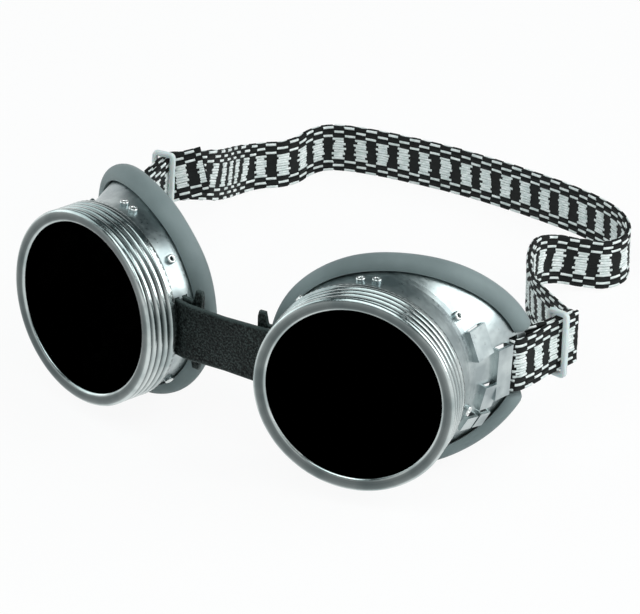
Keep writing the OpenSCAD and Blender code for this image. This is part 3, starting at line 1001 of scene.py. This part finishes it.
@dataclass
class ScrewRing:
    """Rolled aluminium ring: front lip, thread and knurled rear bead."""

    layout: Layout
    side: Side
    columns: int = 288
    rows_per_pitch: int = 12
    knurls: int = 96
    knurl_depth: float = 0.12
    sharpness: float = 2.4

    def sleeve(self, r: float, start: float, end: float) -> list[tuple[float, ...]]:
        """Rows of a sleeve that gets a thread.

        Args:
            r: mean radius.
            start: first depth.
            end: last depth.
        Returns:
            Radius, height along the axis, share of the thread, of the knurls and of the lip's painted
            shade for each row.
        """
        s = self.layout.s
        count = max(4, round(abs(end - start) * self.rows_per_pitch / s.pitch))
        rows = []
        for i in range(count + 1):
            depth = start + (end - start) * i / count
            share = min(1.0, min(abs(depth - start), abs(end - depth)) / (s.pitch / 4))
            share = share * share * (3 - 2 * share)
            rows.append((r + (1 - share) * s.thread_h / 2, -depth, share, 0.0, 0.0))
        return rows

    def profile(self) -> np.ndarray:
        """Returns the closed loop of the ring's section, before it is threaded."""
        s = self.layout.s
        mouth, edge, rise, end = s.mouth_r, s.ring_edge_r, s.ring_rise, -s.ring_l
        # The lip is rolled over: a low arch, with painted shade across its middle and its two edges
        # left bright
        front = [
            (mouth, -0.3, 0.0), (mouth + 0.03, -0.12, 0.0), (mouth + 0.14, 0.02, 0.0),
            (mouth + 0.4, rise * 0.3, 0.1), (mouth + 0.8, rise * 0.57, 0.8),
            (mouth + 1.4, rise * 0.86, 0.85), (mouth + 1.9, rise * 0.99, 0.8),
            (edge - 1.15, rise, 0.75), (edge - 0.75, rise * 0.87, 0.6),
            (edge - 0.45, rise * 0.64, 0.1), (edge - 0.14, rise * 0.18, 0.0),
            (edge, -0.2, 0.0), (edge, -0.35, 0.2),
        ]
        bead = [
            (edge - 0.05, end + 0.85, 0.0), (edge, end + 0.72, 1.0), (edge, end + 0.2, 1.0),
            (edge - 0.1, end + 0.06, 0.6), (edge - 0.3, end, 0.0),
            (s.ring_in_r + s.thread_h / 2 + 0.1, end + 0.05, 0.0),
        ]
        # The back face of the lip gets half of the painted shade
        back = [
            (s.ring_in_r, -s.lip_depth - 0.6), (s.ring_in_r - 0.1, -s.lip_depth - 0.1),
            (s.ring_in_r - 0.5, -s.lip_depth), (mouth + 0.2, -s.lip_depth + 0.1),
            (mouth, -s.lip_depth + 0.25),
        ]
        return np.array(
            [(r, z, 0.0, 0.0, dull) for r, z, dull in front]
            + self.sleeve(s.ring_out_r, 0.45, s.ring_l - 0.9)
            + [(r, z, 0.0, knurl, 0.0) for r, z, knurl in bead]
            + self.sleeve(s.ring_in_r, s.ring_l - 0.3, s.neck_depth - 0.6)
            + [(r, z, 0.0, 0.0, 0.5) for r, z in back]
        )

    def build(self, tree: Tree, material: Material) -> Object:
        """Makes the ring in place of its CAD node.

        Args:
            tree: the thread's tree.
            material: the ring's metal.
        Returns:
            The ring.
        """
        s = self.layout.s
        loop = self.profile()
        angle = np.linspace(0, 2 * math.pi, self.columns, endpoint=False)[:, None]
        r, z = loop[None, :, 0] * MM, np.broadcast_to(loop[:, 1] * MM, (self.columns, len(loop)))
        rows = np.stack([r * np.cos(angle), r * np.sin(angle), z], -1)
        shares = {
            key: np.tile(loop[:, 2 + k], self.columns)
            for k, key in enumerate(("share", "bead", "dull"))
        }
        obj = tube(f"{self.side.label}_rolled_ring", rows, True, shares)
        bake(
            obj,
            tree,
            {"Pitch": s.pitch * MM, "Height": s.thread_h * MM, "Sharpness": self.sharpness,
             "Knurls": float(self.knurls), "Knurl depth": self.knurl_depth * MM,
             "Material": material},
        )
        obj.data.transform(self.layout.cup_matrix(self.side))
        finish_mesh(obj, 50)
        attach(obj, f"{self.side.label}_ring")
        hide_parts(f"{self.side.label}_screw_ring")
        return obj


@dataclass
class VentBeads:
    """Small plated beads round the pierced vents of a cup."""

    layout: Layout
    side: Side
    bead: float = 0.4

    # Angle from the temple in degrees, and depth
    VENTS = ((97, 14), (88, 14.6), (137, 13.4), (39, 21), (-18, 19), (222, 14.4))

    def build(self, tree: Tree, material: Material) -> Object:
        """Makes the beads of one cup.

        Args:
            tree: the beads' tree.
            material: their metal.
        Returns:
            One object with all of them.
        """
        s = self.layout.s
        at, facing = [], []
        for angle, depth in self.VENTS:
            a, w = math.radians(angle), s.slope(depth)
            n = np.array([math.cos(w) * math.cos(a), math.cos(w) * math.sin(a), math.sin(w)])
            r = s.radius(depth) - s.wall / 2
            root = np.array([r * math.cos(a), r * math.sin(a), -depth])
            at.append(root + n * (s.wall / 2 + s.vent_h))
            facing.append(n)
        ends = self.layout.cup(self.side, np.array(at) + np.array(facing))
        points = self.layout.cup(self.side, np.array(at))
        name = f"{self.side.label}_vent_beads"
        obj = raw(name, self.layout.place(points), [], [], {"facing": ends - points})
        bake(
            obj,
            tree,
            {"Radius": (s.vent_r - self.bead) * MM, "Bead": self.bead * MM, "Material": material},
        )
        finish_mesh(obj, 60)
        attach(obj, f"{self.side.label}_cup")
        return obj


@dataclass
class EdgePadding:
    """Slit rubber tube pushed over the rim of a cup, open at the temple."""

    layout: Layout
    side: Side
    stations: int = 240
    sides: int = 30
    # The cut ends: the rim's rough radius, the length that is rounded, and how much thinner it gets
    rim_r: float = 27.0
    end_round: float = 1.3
    end_shrink: float = 0.3

    # One wave of the tube's unevenness, in radians: the waves need not close
    WAVE = 6.28

    def section(self) -> np.ndarray:
        """Returns the tube's section as rows of distance across the wall and along it."""
        s = self.layout.s
        r, w, end = s.pad_d / 2, s.wall / 2 + s.pad_gap, s.pad_bite + s.pad_gap
        lip = math.asin((w + 0.35) / r)
        floor = [(-w, end), (-w * 0.5, end + 0.15), (w * 0.5, end + 0.15), (w, end)]
        walls = [(w, end - 1.2), (w, -r * 0.62), (w + 0.05, -r * math.cos(lip) + 0.25)]
        turns = np.linspace(lip, 2 * math.pi - lip, self.sides + 1)
        outside = [(r * math.sin(a), -r * math.cos(a)) for a in turns]
        return np.array(floor + walls + outside + [(-x, y) for x, y in reversed(walls)])

    def row(self, angle: float, grow: float) -> np.ndarray:
        """One section in place.

        Args:
            angle: degrees from the temple.
            grow: factor on the tube's outer radius.
        Returns:
            Points of the cup's frame.
        """
        s = self.layout.s
        depth = s.rim_depth(angle)
        reach = s.pad_d / 2 - s.pad_bite
        slope = math.atan((s.radius(depth) - s.radius(depth - reach)) / reach)
        drop = s.rim_depth(angle + 1) - s.rim_depth(angle - 1)
        climb = drop / math.radians(2) / s.radius(depth)
        section = self.section()
        outer = np.hypot(section[:, 0], section[:, 1]) > s.pad_d / 2 - 0.2
        across = section[:, 0] * np.where(outer, grow, 1.0)
        along = section[:, 1] * np.where(outer, grow * math.hypot(1, climb), 1.0)
        along -= s.pad_bite
        r = s.radius(depth) - s.wall / 2 + across * math.cos(slope) + along * math.sin(slope)
        z = -depth + across * math.sin(slope) - along * math.cos(slope)
        a = math.radians(angle)
        return np.stack([r * math.cos(a), r * math.sin(a), z], 1)

    def build(self, material: Material) -> Object:
        """Makes the padding in place of its CAD node.

        Args:
            material: its rubber.
        Returns:
            The padding.
        """
        s = self.layout.s
        rng = random.Random(5 + self.side.value)
        half = s.band_w / 2 + s.band_gap + s.pad_end_gap
        first = math.degrees(math.asin((half + s.band_y) / self.layout.temple_r))
        last = 360 - math.degrees(math.asin((half - s.band_y) / self.layout.temple_r))
        waves = [
            (rng.uniform(2, 9), rng.uniform(0, self.WAVE), rng.uniform(0.003, 0.009))
            for _ in range(7)
        ]
        rows = []
        for i in range(self.stations + 1):
            t = i / self.stations
            # The tube is a little uneven, and its cut ends are rounded
            puff = 1 + sum(k * math.sin(f * t * self.WAVE + p) for f, p, k in waves)
            sweep = math.radians(last - first)
            tip = min(i, self.stations - i) / self.stations * sweep * self.rim_r
            puff *= 1 - self.end_shrink * max(0.0, 1 - tip / self.end_round) ** 2
            rows.append(self.row(first + (last - first) * t, puff))
        at = self.layout.place(self.layout.cup(self.side, np.array(rows)))
        obj = tube(f"{self.side.label}_rubber_padding", at, False)
        obj.data.materials.append(material)
        finish_mesh(obj, 60)
        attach(obj, f"{self.side.label}_cup")
        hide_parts(f"{self.side.label}_edge_padding")
        return obj


@dataclass
class NoseStrap:
    """Leather strap laced through two slots of each cup, with a wider tab at each end."""

    layout: Layout
    spacing: float = 0.3
    bend_mm: float = 7.0

    def side_path(self, side: Side) -> list[tuple[np.ndarray, np.ndarray, float]]:
        """Stations of one end, from its tab to the middle run.

        Args:
            side: which cup.
        Returns:
            Point, upward direction and width of each station.
        """
        s = self.layout.s
        slot = s.strap_t + 2 * s.strap_gap
        front = s.front_slot + slot / 2
        rear = front + slot + s.strap_bar
        turn = (rear - front) / 2
        turn_x = math.sqrt((s.cup_r - s.wall) ** 2 - (s.strap_w / 2 + abs(s.strap_y)) ** 2)
        # The tab outside the rear slot: distance from the axis, depth behind the mouth, and width
        plan = [
            (s.cup_r + 5, rear + 0.6, s.tab_w - 2.4), (s.cup_r + 4.7, rear + 0.55, s.tab_w),
            (s.cup_r + 2.9, rear + 0.2, s.tab_w), (s.cup_r + 2.2, rear + 0.1, s.strap_w),
            (s.cup_r, rear, s.strap_w),
        ]
        for a in np.radians(90 - 15 * np.arange(13)):
            depth = (front + rear) / 2 + math.sin(a) * turn
            plan.append((turn_x - math.cos(a) * turn, depth, s.strap_w))
        plan += [(s.cup_r, front, s.strap_w), (s.cup_r + 2.6, front + 0.1, s.strap_w)]
        up = self.layout.turned(side, np.array([[0, 1, 0]]))[0]
        return [
            (self.layout.cup(side, np.array([[-x, s.strap_y, -depth]]))[0], up, width)
            for x, depth, width in plan
        ]

    def section(self) -> list[tuple[float, float]]:
        """Returns thickness and height shares round the strap, with rounded edges."""
        flat = (1, 0.97, 0.9, 0.7, 0.35, 0, -0.35, -0.7, -0.9, -0.97, -1)
        bevel = {1: 0.62, 0.97: 0.95}
        face = [(bevel.get(abs(y), 1.0), y) for y in flat]
        return face + [(-x, y) for x, y in reversed(face)]

    def build(self, material: Material) -> Object:
        """Makes the strap in place of its CAD node.

        Args:
            material: its leather.
        Returns:
            The strap.
        """
        s = self.layout.s
        left, right = self.side_path(Side.LEFT), self.side_path(Side.RIGHT)
        middle = np.array([0, s.strap_mid_y, right[-1][0][2]])
        stations = left + [(middle, np.array([0, 0, 1.0]), s.strap_w)] + right[::-1]
        line = Path(*(np.array([q[k] for q in stations]) for k in range(3)))
        path = line.smoothed(self.spacing, rounds=3)
        u, half = path.at, path.widths / 2
        rows, wear = [], []
        for x, y in self.section():
            v = np.sign(y) * (half - (1 - abs(y)) * s.strap_w / 2)
            # The faces are a little uneven, by less than 0.1 mm
            ripple = 0.04 * np.sin(u / 3.1 + 2 * y) + 0.03 * np.sin(u / 1.3 - y)
            rows.append(path.surface(u, v, x * (s.strap_t / 2) + ripple * (abs(x) > 0.9)))
            wear.append(np.full(len(u), hem(y)))
        at = self.layout.place(np.transpose(np.array(rows), (1, 0, 2)))
        obj = tube("leather_nose_strap", at, False, {"edge": np.array(wear).T})
        obj.data.materials.append(material)
        finish_mesh(obj, 60)
        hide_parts("nose_strap")
        centre, reach = self.layout.place(middle)[0], np.array([self.bend_mm * MM, 0, 0])
        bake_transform(obj)
        return obj


@dataclass(frozen=True)
class Row:
    """One row of floats: height in mm, phase and length in periods, and factor on the section."""

    height: float
    phase: float
    length: float
    size: float


@dataclass
class Headband:
    """Woven elastic band: a ribbed black ground, with white and black floats on both faces.

    The floats are bricks in the rows along both edges, and white barrels between them.
    """

    layout: Layout
    spacing: float = 0.5
    # The ground
    ground_t: float = 1.05
    ground_inset: float = 0.4
    hem_thin: float = 0.45
    scallop: float = 0.2
    rib: float = 0.05
    # The floats: their section, the pattern's repeat, the gap to a cut end, and the least length
    half_width: float = 0.4
    half_height: float = 0.24
    period: float = 6.9
    end_gap: float = 0.35
    shortest: float = 0.8
    # Rows along the edges, with lengths in periods and thickness as a factor on the section
    edge_rows: int = 3
    edge_inset: float = 0.78
    edge_pitch: float = 1.35
    brick: float = 0.48
    white_size: float = 1.1
    black_size: float = 1.05
    hem_size: float = 1.2
    # Rows of the barrels, from the middle outwards
    barrel_rows: tuple[float, ...] = (0.58, 0.46, 0.56, 0.42, 0.54)
    barrel_pitch: float = 0.8
    barrel_size: float = 0.72
    # Where the layers close up behind the rim, how far they run past a slider, and the right stub
    close_from: float = 2.0
    close_to: float = 8.0
    past_slider: float = 4.0
    stub: float = 3.0
    # A stretch each way from the middle; build() works out its ends but does not use them
    bend_x: float = 52.0

    # Middle line of the free part, from the right slider round to the left one, with its height
    ROUTE = (
        (67, 69.5, 24), (61.5, 74.5, 22.5), (53.5, 81, 21), (45.5, 88.5, 19), (38.5, 98, 17),
        (32.5, 109, 14.5), (29, 119, 12.5), (31, 126.5, 10.5), (37, 131, 9), (42.5, 135.5, 7.9),
        (44.5, 142, 7.75), (41.5, 149, 7.75), (34, 155, 7.75), (22, 159, 7.75), (7, 161, 7.75),
        (-8, 162, 7.75), (-25, 162, 7.75), (-41, 160.5, 7.75), (-55, 158, 7.75),
        (-63, 154.5, 7.75), (-66, 149, 7.75), (-66.5, 143, 7.75), (-69, 138, 7.75),
        (-73.5, 134, 7.75), (-75.5, 129, 8.4), (-74.5, 122, 11), (-72, 114, 14.5),
        (-70, 106, 18), (-70, 98, 21.5),
    )
    TAIL = ((-66.8, 91.2, 1.2), (-65.2, 92.6, 1.6))

    def layer(self, side: Side, plan: list[tuple[float, float]]) -> list[tuple]:
        """Stations on the doubled stretch of one side.

        Args:
            side: which side.
            plan: distances behind the rim and across the wall.
        Returns:
            Point and upward direction of each station.
        """
        up = self.layout.turned(side, np.array([[0, 1, 0]]))[0]
        return [(self.layout.temple(side, a, c, self.layout.s.band_y), up) for a, c in plan]

    def rim_loop(self) -> list[tuple[float, float]]:
        """Returns the way round the bar at the rim, from the outer layer to the inner one."""
        s, temple_r = self.layout.s, self.layout.temple_r
        sag = temple_r - math.sqrt(temple_r**2 - (s.band_w / 2 - s.band_y) ** 2)
        outer = s.wall / 2 + s.band_gap + s.band_t / 2
        inner = -(s.wall / 2 + sag + s.band_gap + s.band_t / 2)
        r, mid = (outer - inner) / 2, (outer + inner) / 2
        bend = [
            (-s.band_bar + math.cos(a) * r, mid + math.sin(a) * r)
            for a in np.radians(90 + 15 * np.arange(13))
        ]
        near, far = self.close_from, self.close_to
        start = [(far, s.layer_across), (near, outer), (-s.band_bar / 2, outer)]
        return start + bend + [(-s.band_bar / 2, inner), (near, inner), (far, -s.layer_across)]

    def path(self) -> Path:
        """Returns the whole band's middle line."""
        s, up = self.layout.s, np.array([0, 0, 1.0])
        across = s.layer_across
        floor = -self.layout.origin[2] / MM
        start, end = s.right_slider_t + self.past_slider, s.left_slider_t + self.past_slider
        right = self.layer(
            Side.RIGHT,
            [(start + self.stub, across), (start, across), *self.rim_loop(), (start, -across)],
        )
        left = self.layer(Side.LEFT, [(end, across), *self.rim_loop(), (end, -across)])
        route = [np.array([x, y, h + floor]) for x, y, h in self.ROUTE]
        free = self.through([right[-1][0], *route, left[0][0]], steps=6)
        tail = [(np.array([x, y, left[-1][0][2] + h]), up) for x, y, h in self.TAIL]
        stations = right + [(p, up) for p in free[1:]] + left + tail
        points, ups = (np.array([q[k] for q in stations]) for k in range(2))
        return Path(points, ups, np.full(len(stations), s.band_w)).smoothed(self.spacing, rounds=3)

    @staticmethod
    def through(points: list[np.ndarray], steps: int) -> list[np.ndarray]:
        """Smooth line through points.

        Args:
            points: the points that it passes.
            steps: stations for each stretch.
        Returns:
            The denser line, without its last point.
        """
        last, out = len(points) - 1, []
        for i in range(last):
            a, b, c, d = points[max(0, i - 1)], points[i], points[i + 1], points[min(last, i + 2)]
            for t in np.arange(steps) / steps:
                out.append(
                    (2 * b + (c - a) * t + (2 * a - 5 * b + 4 * c - d) * t**2
                     + (3 * b - a - 3 * c + d) * t**3) / 2
                )
        return out

    def rows(self, thread: Thread) -> list[Row]:
        """Rows of floats of one yarn.

        Args:
            thread: which yarn.
        Returns:
            The rows: bricks along both edges, and for white the barrels between them.
        """
        out = []
        top = self.layout.s.band_w / 2 - self.edge_inset
        for k in range(self.edge_rows):
            phase = 0.5 if (k % 2 == 0) == (thread is Thread.WHITE) else 0.0
            black = self.black_size if k else self.hem_size
            size = self.white_size if thread is Thread.WHITE else black
            for way in (1, -1):
                out.append(Row(way * (top - k * self.edge_pitch), phase, self.brick, size))
        if thread is Thread.WHITE:
            for k, length in enumerate(self.barrel_rows):
                for way in (1, -1) if k else (1,):
                    out.append(Row(way * k * self.barrel_pitch, 0.0, length, self.barrel_size))
        return out

    def ground(self, path: Path, material: Material) -> Object:
        """The band's ribbed black ground, with scalloped edges.

        Args:
            path: the band's middle line.
            material: its yarn.
        Returns:
            The ground.
        """
        s, u = self.layout.s, path.at
        across = np.linspace(-1, 1, 27)
        profile = [(1.0, y) for y in across] + [(-1.0, y) for y in across[::-1]]
        scallop = self.scallop * np.cos(2 * math.pi * u / self.period)
        rows, flow = [], []
        for x, y in profile:
            slim = 1 - self.hem_thin * hem(y)
            v = y * (s.band_w / 2 - self.ground_inset + scallop * (abs(y) > 0.95))
            rib = self.rib * math.cos(y * s.band_w / 2 / self.barrel_pitch * 2 * math.pi)
            h = x * slim * (self.ground_t / 2 + rib) + 0.03 * np.sin(u * 2.1 + y * 9)
            rows.append(path.surface(u, v, h))
            flow.append(np.stack([u * MM, v * MM, 0 * u], 1))
        local, flow = (np.transpose(np.array(a), (1, 0, 2)) for a in (rows, flow))
        obj = tube("band_ground", self.layout.place(local), False, {"flow": flow})
        obj.data.materials.append(material)
        finish_mesh(obj, 70)
        return obj

    def floats(
        self, path: Path, face: Face, thread: Thread, tree: Tree, material: Material
    ) -> Object:
        """The floats of one yarn on one face.

        Args:
            path: the band's middle line.
            face: which face.
            thread: which yarn.
            tree: the floats' tree.
            material: the yarn's material.
        Returns:
            One object with all of them.
        """
        rng = random.Random(f"{face.name}{thread.name}")
        steps = np.array([0.0, 0.07, 0.5, 0.93, 1.0])
        swell = np.array([0.5, 0.95, 1.0, 0.95, 0.5])
        count = len(steps)
        points, edges, size, flow = [], [], [], []
        shift = 0.0 if face is Face.OUTER else 0.5
        for index in range(-1, int(path.length / self.period) + 2):
            for row in self.rows(thread):
                middle = (index + row.phase + shift) * self.period + rng.uniform(-0.3, 0.3)
                reach = row.length * self.period / 2 * rng.uniform(0.86, 1.08)
                start = max(self.end_gap, middle - reach)
                end = min(path.length - self.end_gap, middle + reach)
                if end - start < self.shortest:
                    continue
                u = start + (end - start) * steps
                v = np.full(count, row.height + rng.uniform(-0.05, 0.05))
                v += np.linspace(-1, 1, count) * rng.uniform(-0.07, 0.07)
                lift = self.ground_t / 2 + 0.02 + 0.06 * (swell - 0.8)
                base = len(points) * count
                edges += [(base + k, base + k + 1) for k in range(count - 1)]
                points.append(path.surface(u, v, face.value * lift))
                size.append(swell * row.size * rng.uniform(0.93, 1.05))
                flow.append(np.stack([u, v, 0 * u], 1) * MM)
        obj = raw(
            f"band_{thread.value}s_{face.name.lower()}",
            self.layout.place(np.array(points)),
            edges,
            [],
            {"swell": np.array(size), "flow": np.array(flow)},
        )
        bake(
            obj,
            tree,
            {"Half width": self.half_width * MM, "Half height": self.half_height * MM,
             "Material": material},
        )
        finish_mesh(obj, 75)
        return obj

    def build(self, tree: Tree, materials: dict[str, Material]) -> list[Object]:
        """Makes the band in place of its CAD node.

        Args:
            tree: the floats' tree.
            materials: the finished materials by name.
        Returns:
            The band's objects.
        """
        path = self.path()
        pieces = [self.ground(path, materials["ground"])]
        for face in Face:
            for thread in Thread:
                pieces.append(self.floats(path, face, thread, tree, materials[thread.value]))
        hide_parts("headband")
        bend = np.array([[-self.bend_x, 120, -20], [self.bend_x, 120, -20]])
        start, end = self.layout.place(bend)
        for piece in pieces:
            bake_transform(piece)
        return pieces


@dataclass
class BandSlider:
    """Moulded keeper that holds the two layers of the band together."""

    layout: Layout
    side: Side
    corner: float = 0.9
    squareness: float = 0.55
    slack: float = 0.02

    def build(self, material: Material) -> Object:
        """Makes the slider in place of its CAD node.

        Args:
            material: its plastic.
        Returns:
            The slider.
        """
        s = self.layout.s
        behind = s.right_slider_t if self.side is Side.RIGHT else s.left_slider_t
        half_x = s.layer_across + s.band_t / 2 + s.slider_gap + s.rod_t / 2
        half_y = s.band_w / 2 + s.slider_gap + s.rod_t / 2
        centre = []
        for qx, qy, first in ((1, 1, 0), (-1, 1, 90), (-1, -1, 180), (1, -1, 270)):
            for a in np.radians(first + 15 * np.arange(7)):
                x = qx * (half_x - self.corner) + self.corner * math.cos(a)
                centre.append((x, qy * (half_y - self.corner) + self.corner * math.sin(a)))
        c = np.array(centre)
        way = unit(np.roll(c, -1, 0) - np.roll(c, 1, 0))
        out = np.stack([way[:, 1], -way[:, 0]], 1)
        # The rod's section is a rounded square, a hair thinner than its CAD solid
        a = np.linspace(0, 2 * math.pi, 16, endpoint=False)
        square = np.stack([np.cos(a), np.sin(a)], 1)
        square = np.sign(square) * np.abs(square) ** self.squareness * (s.rod_t / 2 - self.slack)
        across = c[:, None, 0] + out[:, None, 0] * square[None, :, 0]
        up = c[:, None, 1] + out[:, None, 1] * square[None, :, 0]
        along = behind + np.broadcast_to(square[None, :, 1], up.shape)
        b = s.flare_angle
        local = np.stack(
            [
                self.layout.temple_r + along * math.sin(b) + across * math.cos(b),
                s.band_y + up,
                -self.layout.temple_depth - along * math.cos(b) + across * math.sin(b),
            ],
            -1,
        )
        at = self.layout.place(self.layout.cup(self.side, local))
        obj = tube(f"{self.side.label}_keeper", at, True)
        obj.data.materials.append(material)
        finish_mesh(obj, 50)
        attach(obj, f"{self.side.label}_slider")
        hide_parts(f"{self.side.label}_band_slider")
        return obj


@dataclass(frozen=True)
class PressedParts:
    """The CAD nodes that stay: cups, lenses and gaskets."""

    nodes: dict[str, Object]
    finishes: tuple[tuple[str, str], ...] = (
        ("eyecup", "cup"), ("cover_lens", "cover"),
        ("filter_lens", "filter"), ("lens_gasket", "gasket"),
    )

    def build(self, materials: dict[str, Material]) -> list[Object]:
        """Gives them their materials.

        Args:
            materials: the finished materials by name.
        Returns:
            The nodes' objects.
        """
        dressed = []
        for side in Side:
            for part, key in self.finishes:
                obj = self.nodes[f"{side.label}_{part}"]
                for slot in obj.material_slots:
                    slot.material = materials[key]
                dressed.append(obj)
        return dressed


# Studio


@dataclass(frozen=True)
class Lamp:
    """A square area light aimed at the goggles, in metres and watts."""

    name: str
    at: tuple[float, float, float]
    size: float
    power: float
    colour: str
    target: tuple[float, float, float] = (0, 0, 0.03)

    def build(self) -> None:
        """Adds the lamp."""
        data = bpy.data.lights.new(self.name, "AREA")
        data.size, data.energy, data.color = self.size, self.power, linear(self.colour)[:3]
        lamp = bpy.data.objects.new(self.name, data)
        bpy.context.scene.collection.objects.link(lamp)
        lamp.location = self.at
        aim = Vector(self.target) - Vector(self.at)
        lamp.rotation_euler = aim.to_track_quat("-Z", "Y").to_euler()


@dataclass(frozen=True)
class Studio:
    """Camera at the photograph's place, soft lamps, and a white floor and backdrop."""

    layout: Layout
    place: tuple[float, float, float] = (547.5, -808.3, 563.1)
    right: tuple[float, float, float] = (0.8434, 0.5373, 0.0)
    up: tuple[float, float, float] = (-0.2638, 0.4140, 0.8712)
    focal_px: float = 4303.0
    width_px: int = 640
    sensor_mm: float = 36.0
    overhead: str = "#3c4648"
    dim: str = "#a9b5b6"
    floor_colour: str = "#f4f6f6"
    floor_glow: float = 0.92
    floor_r: float = 6.0
    lamps: tuple[Lamp, ...] = (
        Lamp("key", (0.85, 0.35, 0.6), 0.95, 9.0, "#fbffff"),
        Lamp("front", (0.1, -0.6, 1.0), 0.9, 6.0, "#f2fafa"),
        Lamp("left", (-0.85, -0.2, 0.5), 0.8, 2.5, "#e8f3f4"),
    )

    def camera(self) -> None:
        """Creates the camera and makes it the scene's."""
        data = bpy.data.cameras.new("camera")
        data.sensor_fit = "HORIZONTAL"
        data.sensor_width = self.sensor_mm
        data.lens = self.sensor_mm * self.focal_px / self.width_px
        data.clip_end = 20.0
        cam = bpy.data.objects.new("camera", data)
        bpy.context.scene.collection.objects.link(cam)
        x, y = Vector(self.right).normalized(), Vector(self.up).normalized()
        turn = Matrix((x, y, x.cross(y).normalized())).transposed().to_4x4()
        at = self.layout.place(np.array([self.place]))[0]
        cam.matrix_world = Matrix.Translation(Vector(at)) @ turn
        bpy.context.scene.camera = cam

    @staticmethod
    def direct(tree: Tree) -> Socket:
        """Returns 1 for what the camera sees, also in metal and through glass."""
        path = add(tree, "ShaderNodeLightPath").outputs
        mirror = add(
            tree, "ShaderNodeMath", {0: path["Is Glossy Ray"], 1: path["Is Transmission Ray"]},
            operation="MAXIMUM",
        ).outputs[0]
        return add(
            tree, "ShaderNodeMath", {0: path["Is Camera Ray"], 1: mirror}, operation="MAXIMUM"
        ).outputs[0]

    def world(self) -> None:
        """White backdrop that darkens overhead, and a dimmer one for the light it gives."""
        world = bpy.data.worlds.new("studio")
        bpy.context.scene.world = world
        world.use_nodes = True
        tree = world.node_tree
        tree.nodes.clear()
        way = add(tree, "ShaderNodeTexCoord").outputs["Generated"]
        height = add(tree, "ShaderNodeSeparateXYZ", {0: way}).outputs["Z"]
        climb = add(
            tree, "ShaderNodeMapRange", {"Value": height, "From Min": 0.1, "From Max": 0.55}
        ).outputs["Result"]
        backdrop = add(
            tree, "ShaderNodeMix", {"Factor": climb, 6: (1, 1, 1, 1), 7: linear(self.overhead)},
            data_type="RGBA",
        ).outputs[2]
        seen = add(tree, "ShaderNodeBackground", {"Color": backdrop, "Strength": 1.0})
        rest = add(tree, "ShaderNodeBackground", {"Color": linear(self.dim), "Strength": 0.4})
        mix = add(
            tree, "ShaderNodeMixShader",
            {"Fac": self.direct(tree), 1: rest.outputs[0], 2: seen.outputs[0]},
        )
        add(tree, "ShaderNodeOutputWorld", {"Surface": mix.outputs[0]})

    def floor(self) -> None:
        """Adds the floor, white but for its soft shadows."""
        r = self.floor_r
        square = np.array([(-r, -r, 0), (r, -r, 0), (r, r, 0), (-r, r, 0)])
        obj = raw("floor", square, [], [(0, 1, 2, 3)])
        material = bpy.data.materials.new("pale_floor")
        material.use_nodes = True
        tree = material.node_tree
        plain = tree.nodes["Principled BSDF"]
        feed(tree, plain, {"Base Color": linear(self.floor_colour), "Roughness": 0.9})
        glow = add(tree, "ShaderNodeEmission", {"Color": (1, 1, 1, 1), "Strength": 1.0}).outputs[0]
        lit = add(
            tree, "ShaderNodeMixShader", {"Fac": self.floor_glow, 1: plain.outputs[0], 2: glow}
        ).outputs[0]
        seen = add(
            tree, "ShaderNodeMixShader", {"Fac": self.direct(tree), 1: plain.outputs[0], 2: lit}
        )
        feed(tree, tree.nodes["Material Output"], {"Surface": seen.outputs[0]})
        obj.data.materials.append(material)

    def build(self) -> None:
        """Sets up the whole studio."""
        self.camera()
        self.world()
        self.floor()
        for lamp in self.lamps:
            lamp.build()
        bpy.context.scene.view_settings.view_transform = "Standard"


def report(*pieces: Object) -> None:
    """Logs each piece with its number of faces."""
    for piece in pieces:
        log.info("%s: %d faces", piece.name, len(piece.data.polygons))


def main() -> None:
    """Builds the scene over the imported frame."""
    logging.basicConfig(level=logging.INFO, format="%(message)s")
    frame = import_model()
    layout = Layout(Sizes(), frame["joints"])
    materials = {key: finish.build() for key, finish in FINISHES.items()}
    Studio(layout).build()
    report(*PressedParts(frame["nodes"]).build(materials))
    threads, yarns, beads = thread_tree(), float_tree(), bead_tree()
    for side in Side:
        report(
            ScrewRing(layout, side).build(threads, materials["ring"]),
            VentBeads(layout, side).build(beads, materials["bead"]),
            EdgePadding(layout, side).build(materials["pad"]),
            BandSlider(layout, side).build(materials["plastic"]),
        )
    report(NoseStrap(layout).build(materials["leather"]))
    report(*Headband(layout).build(yarns, materials))


if __name__ == "__main__":
    main()
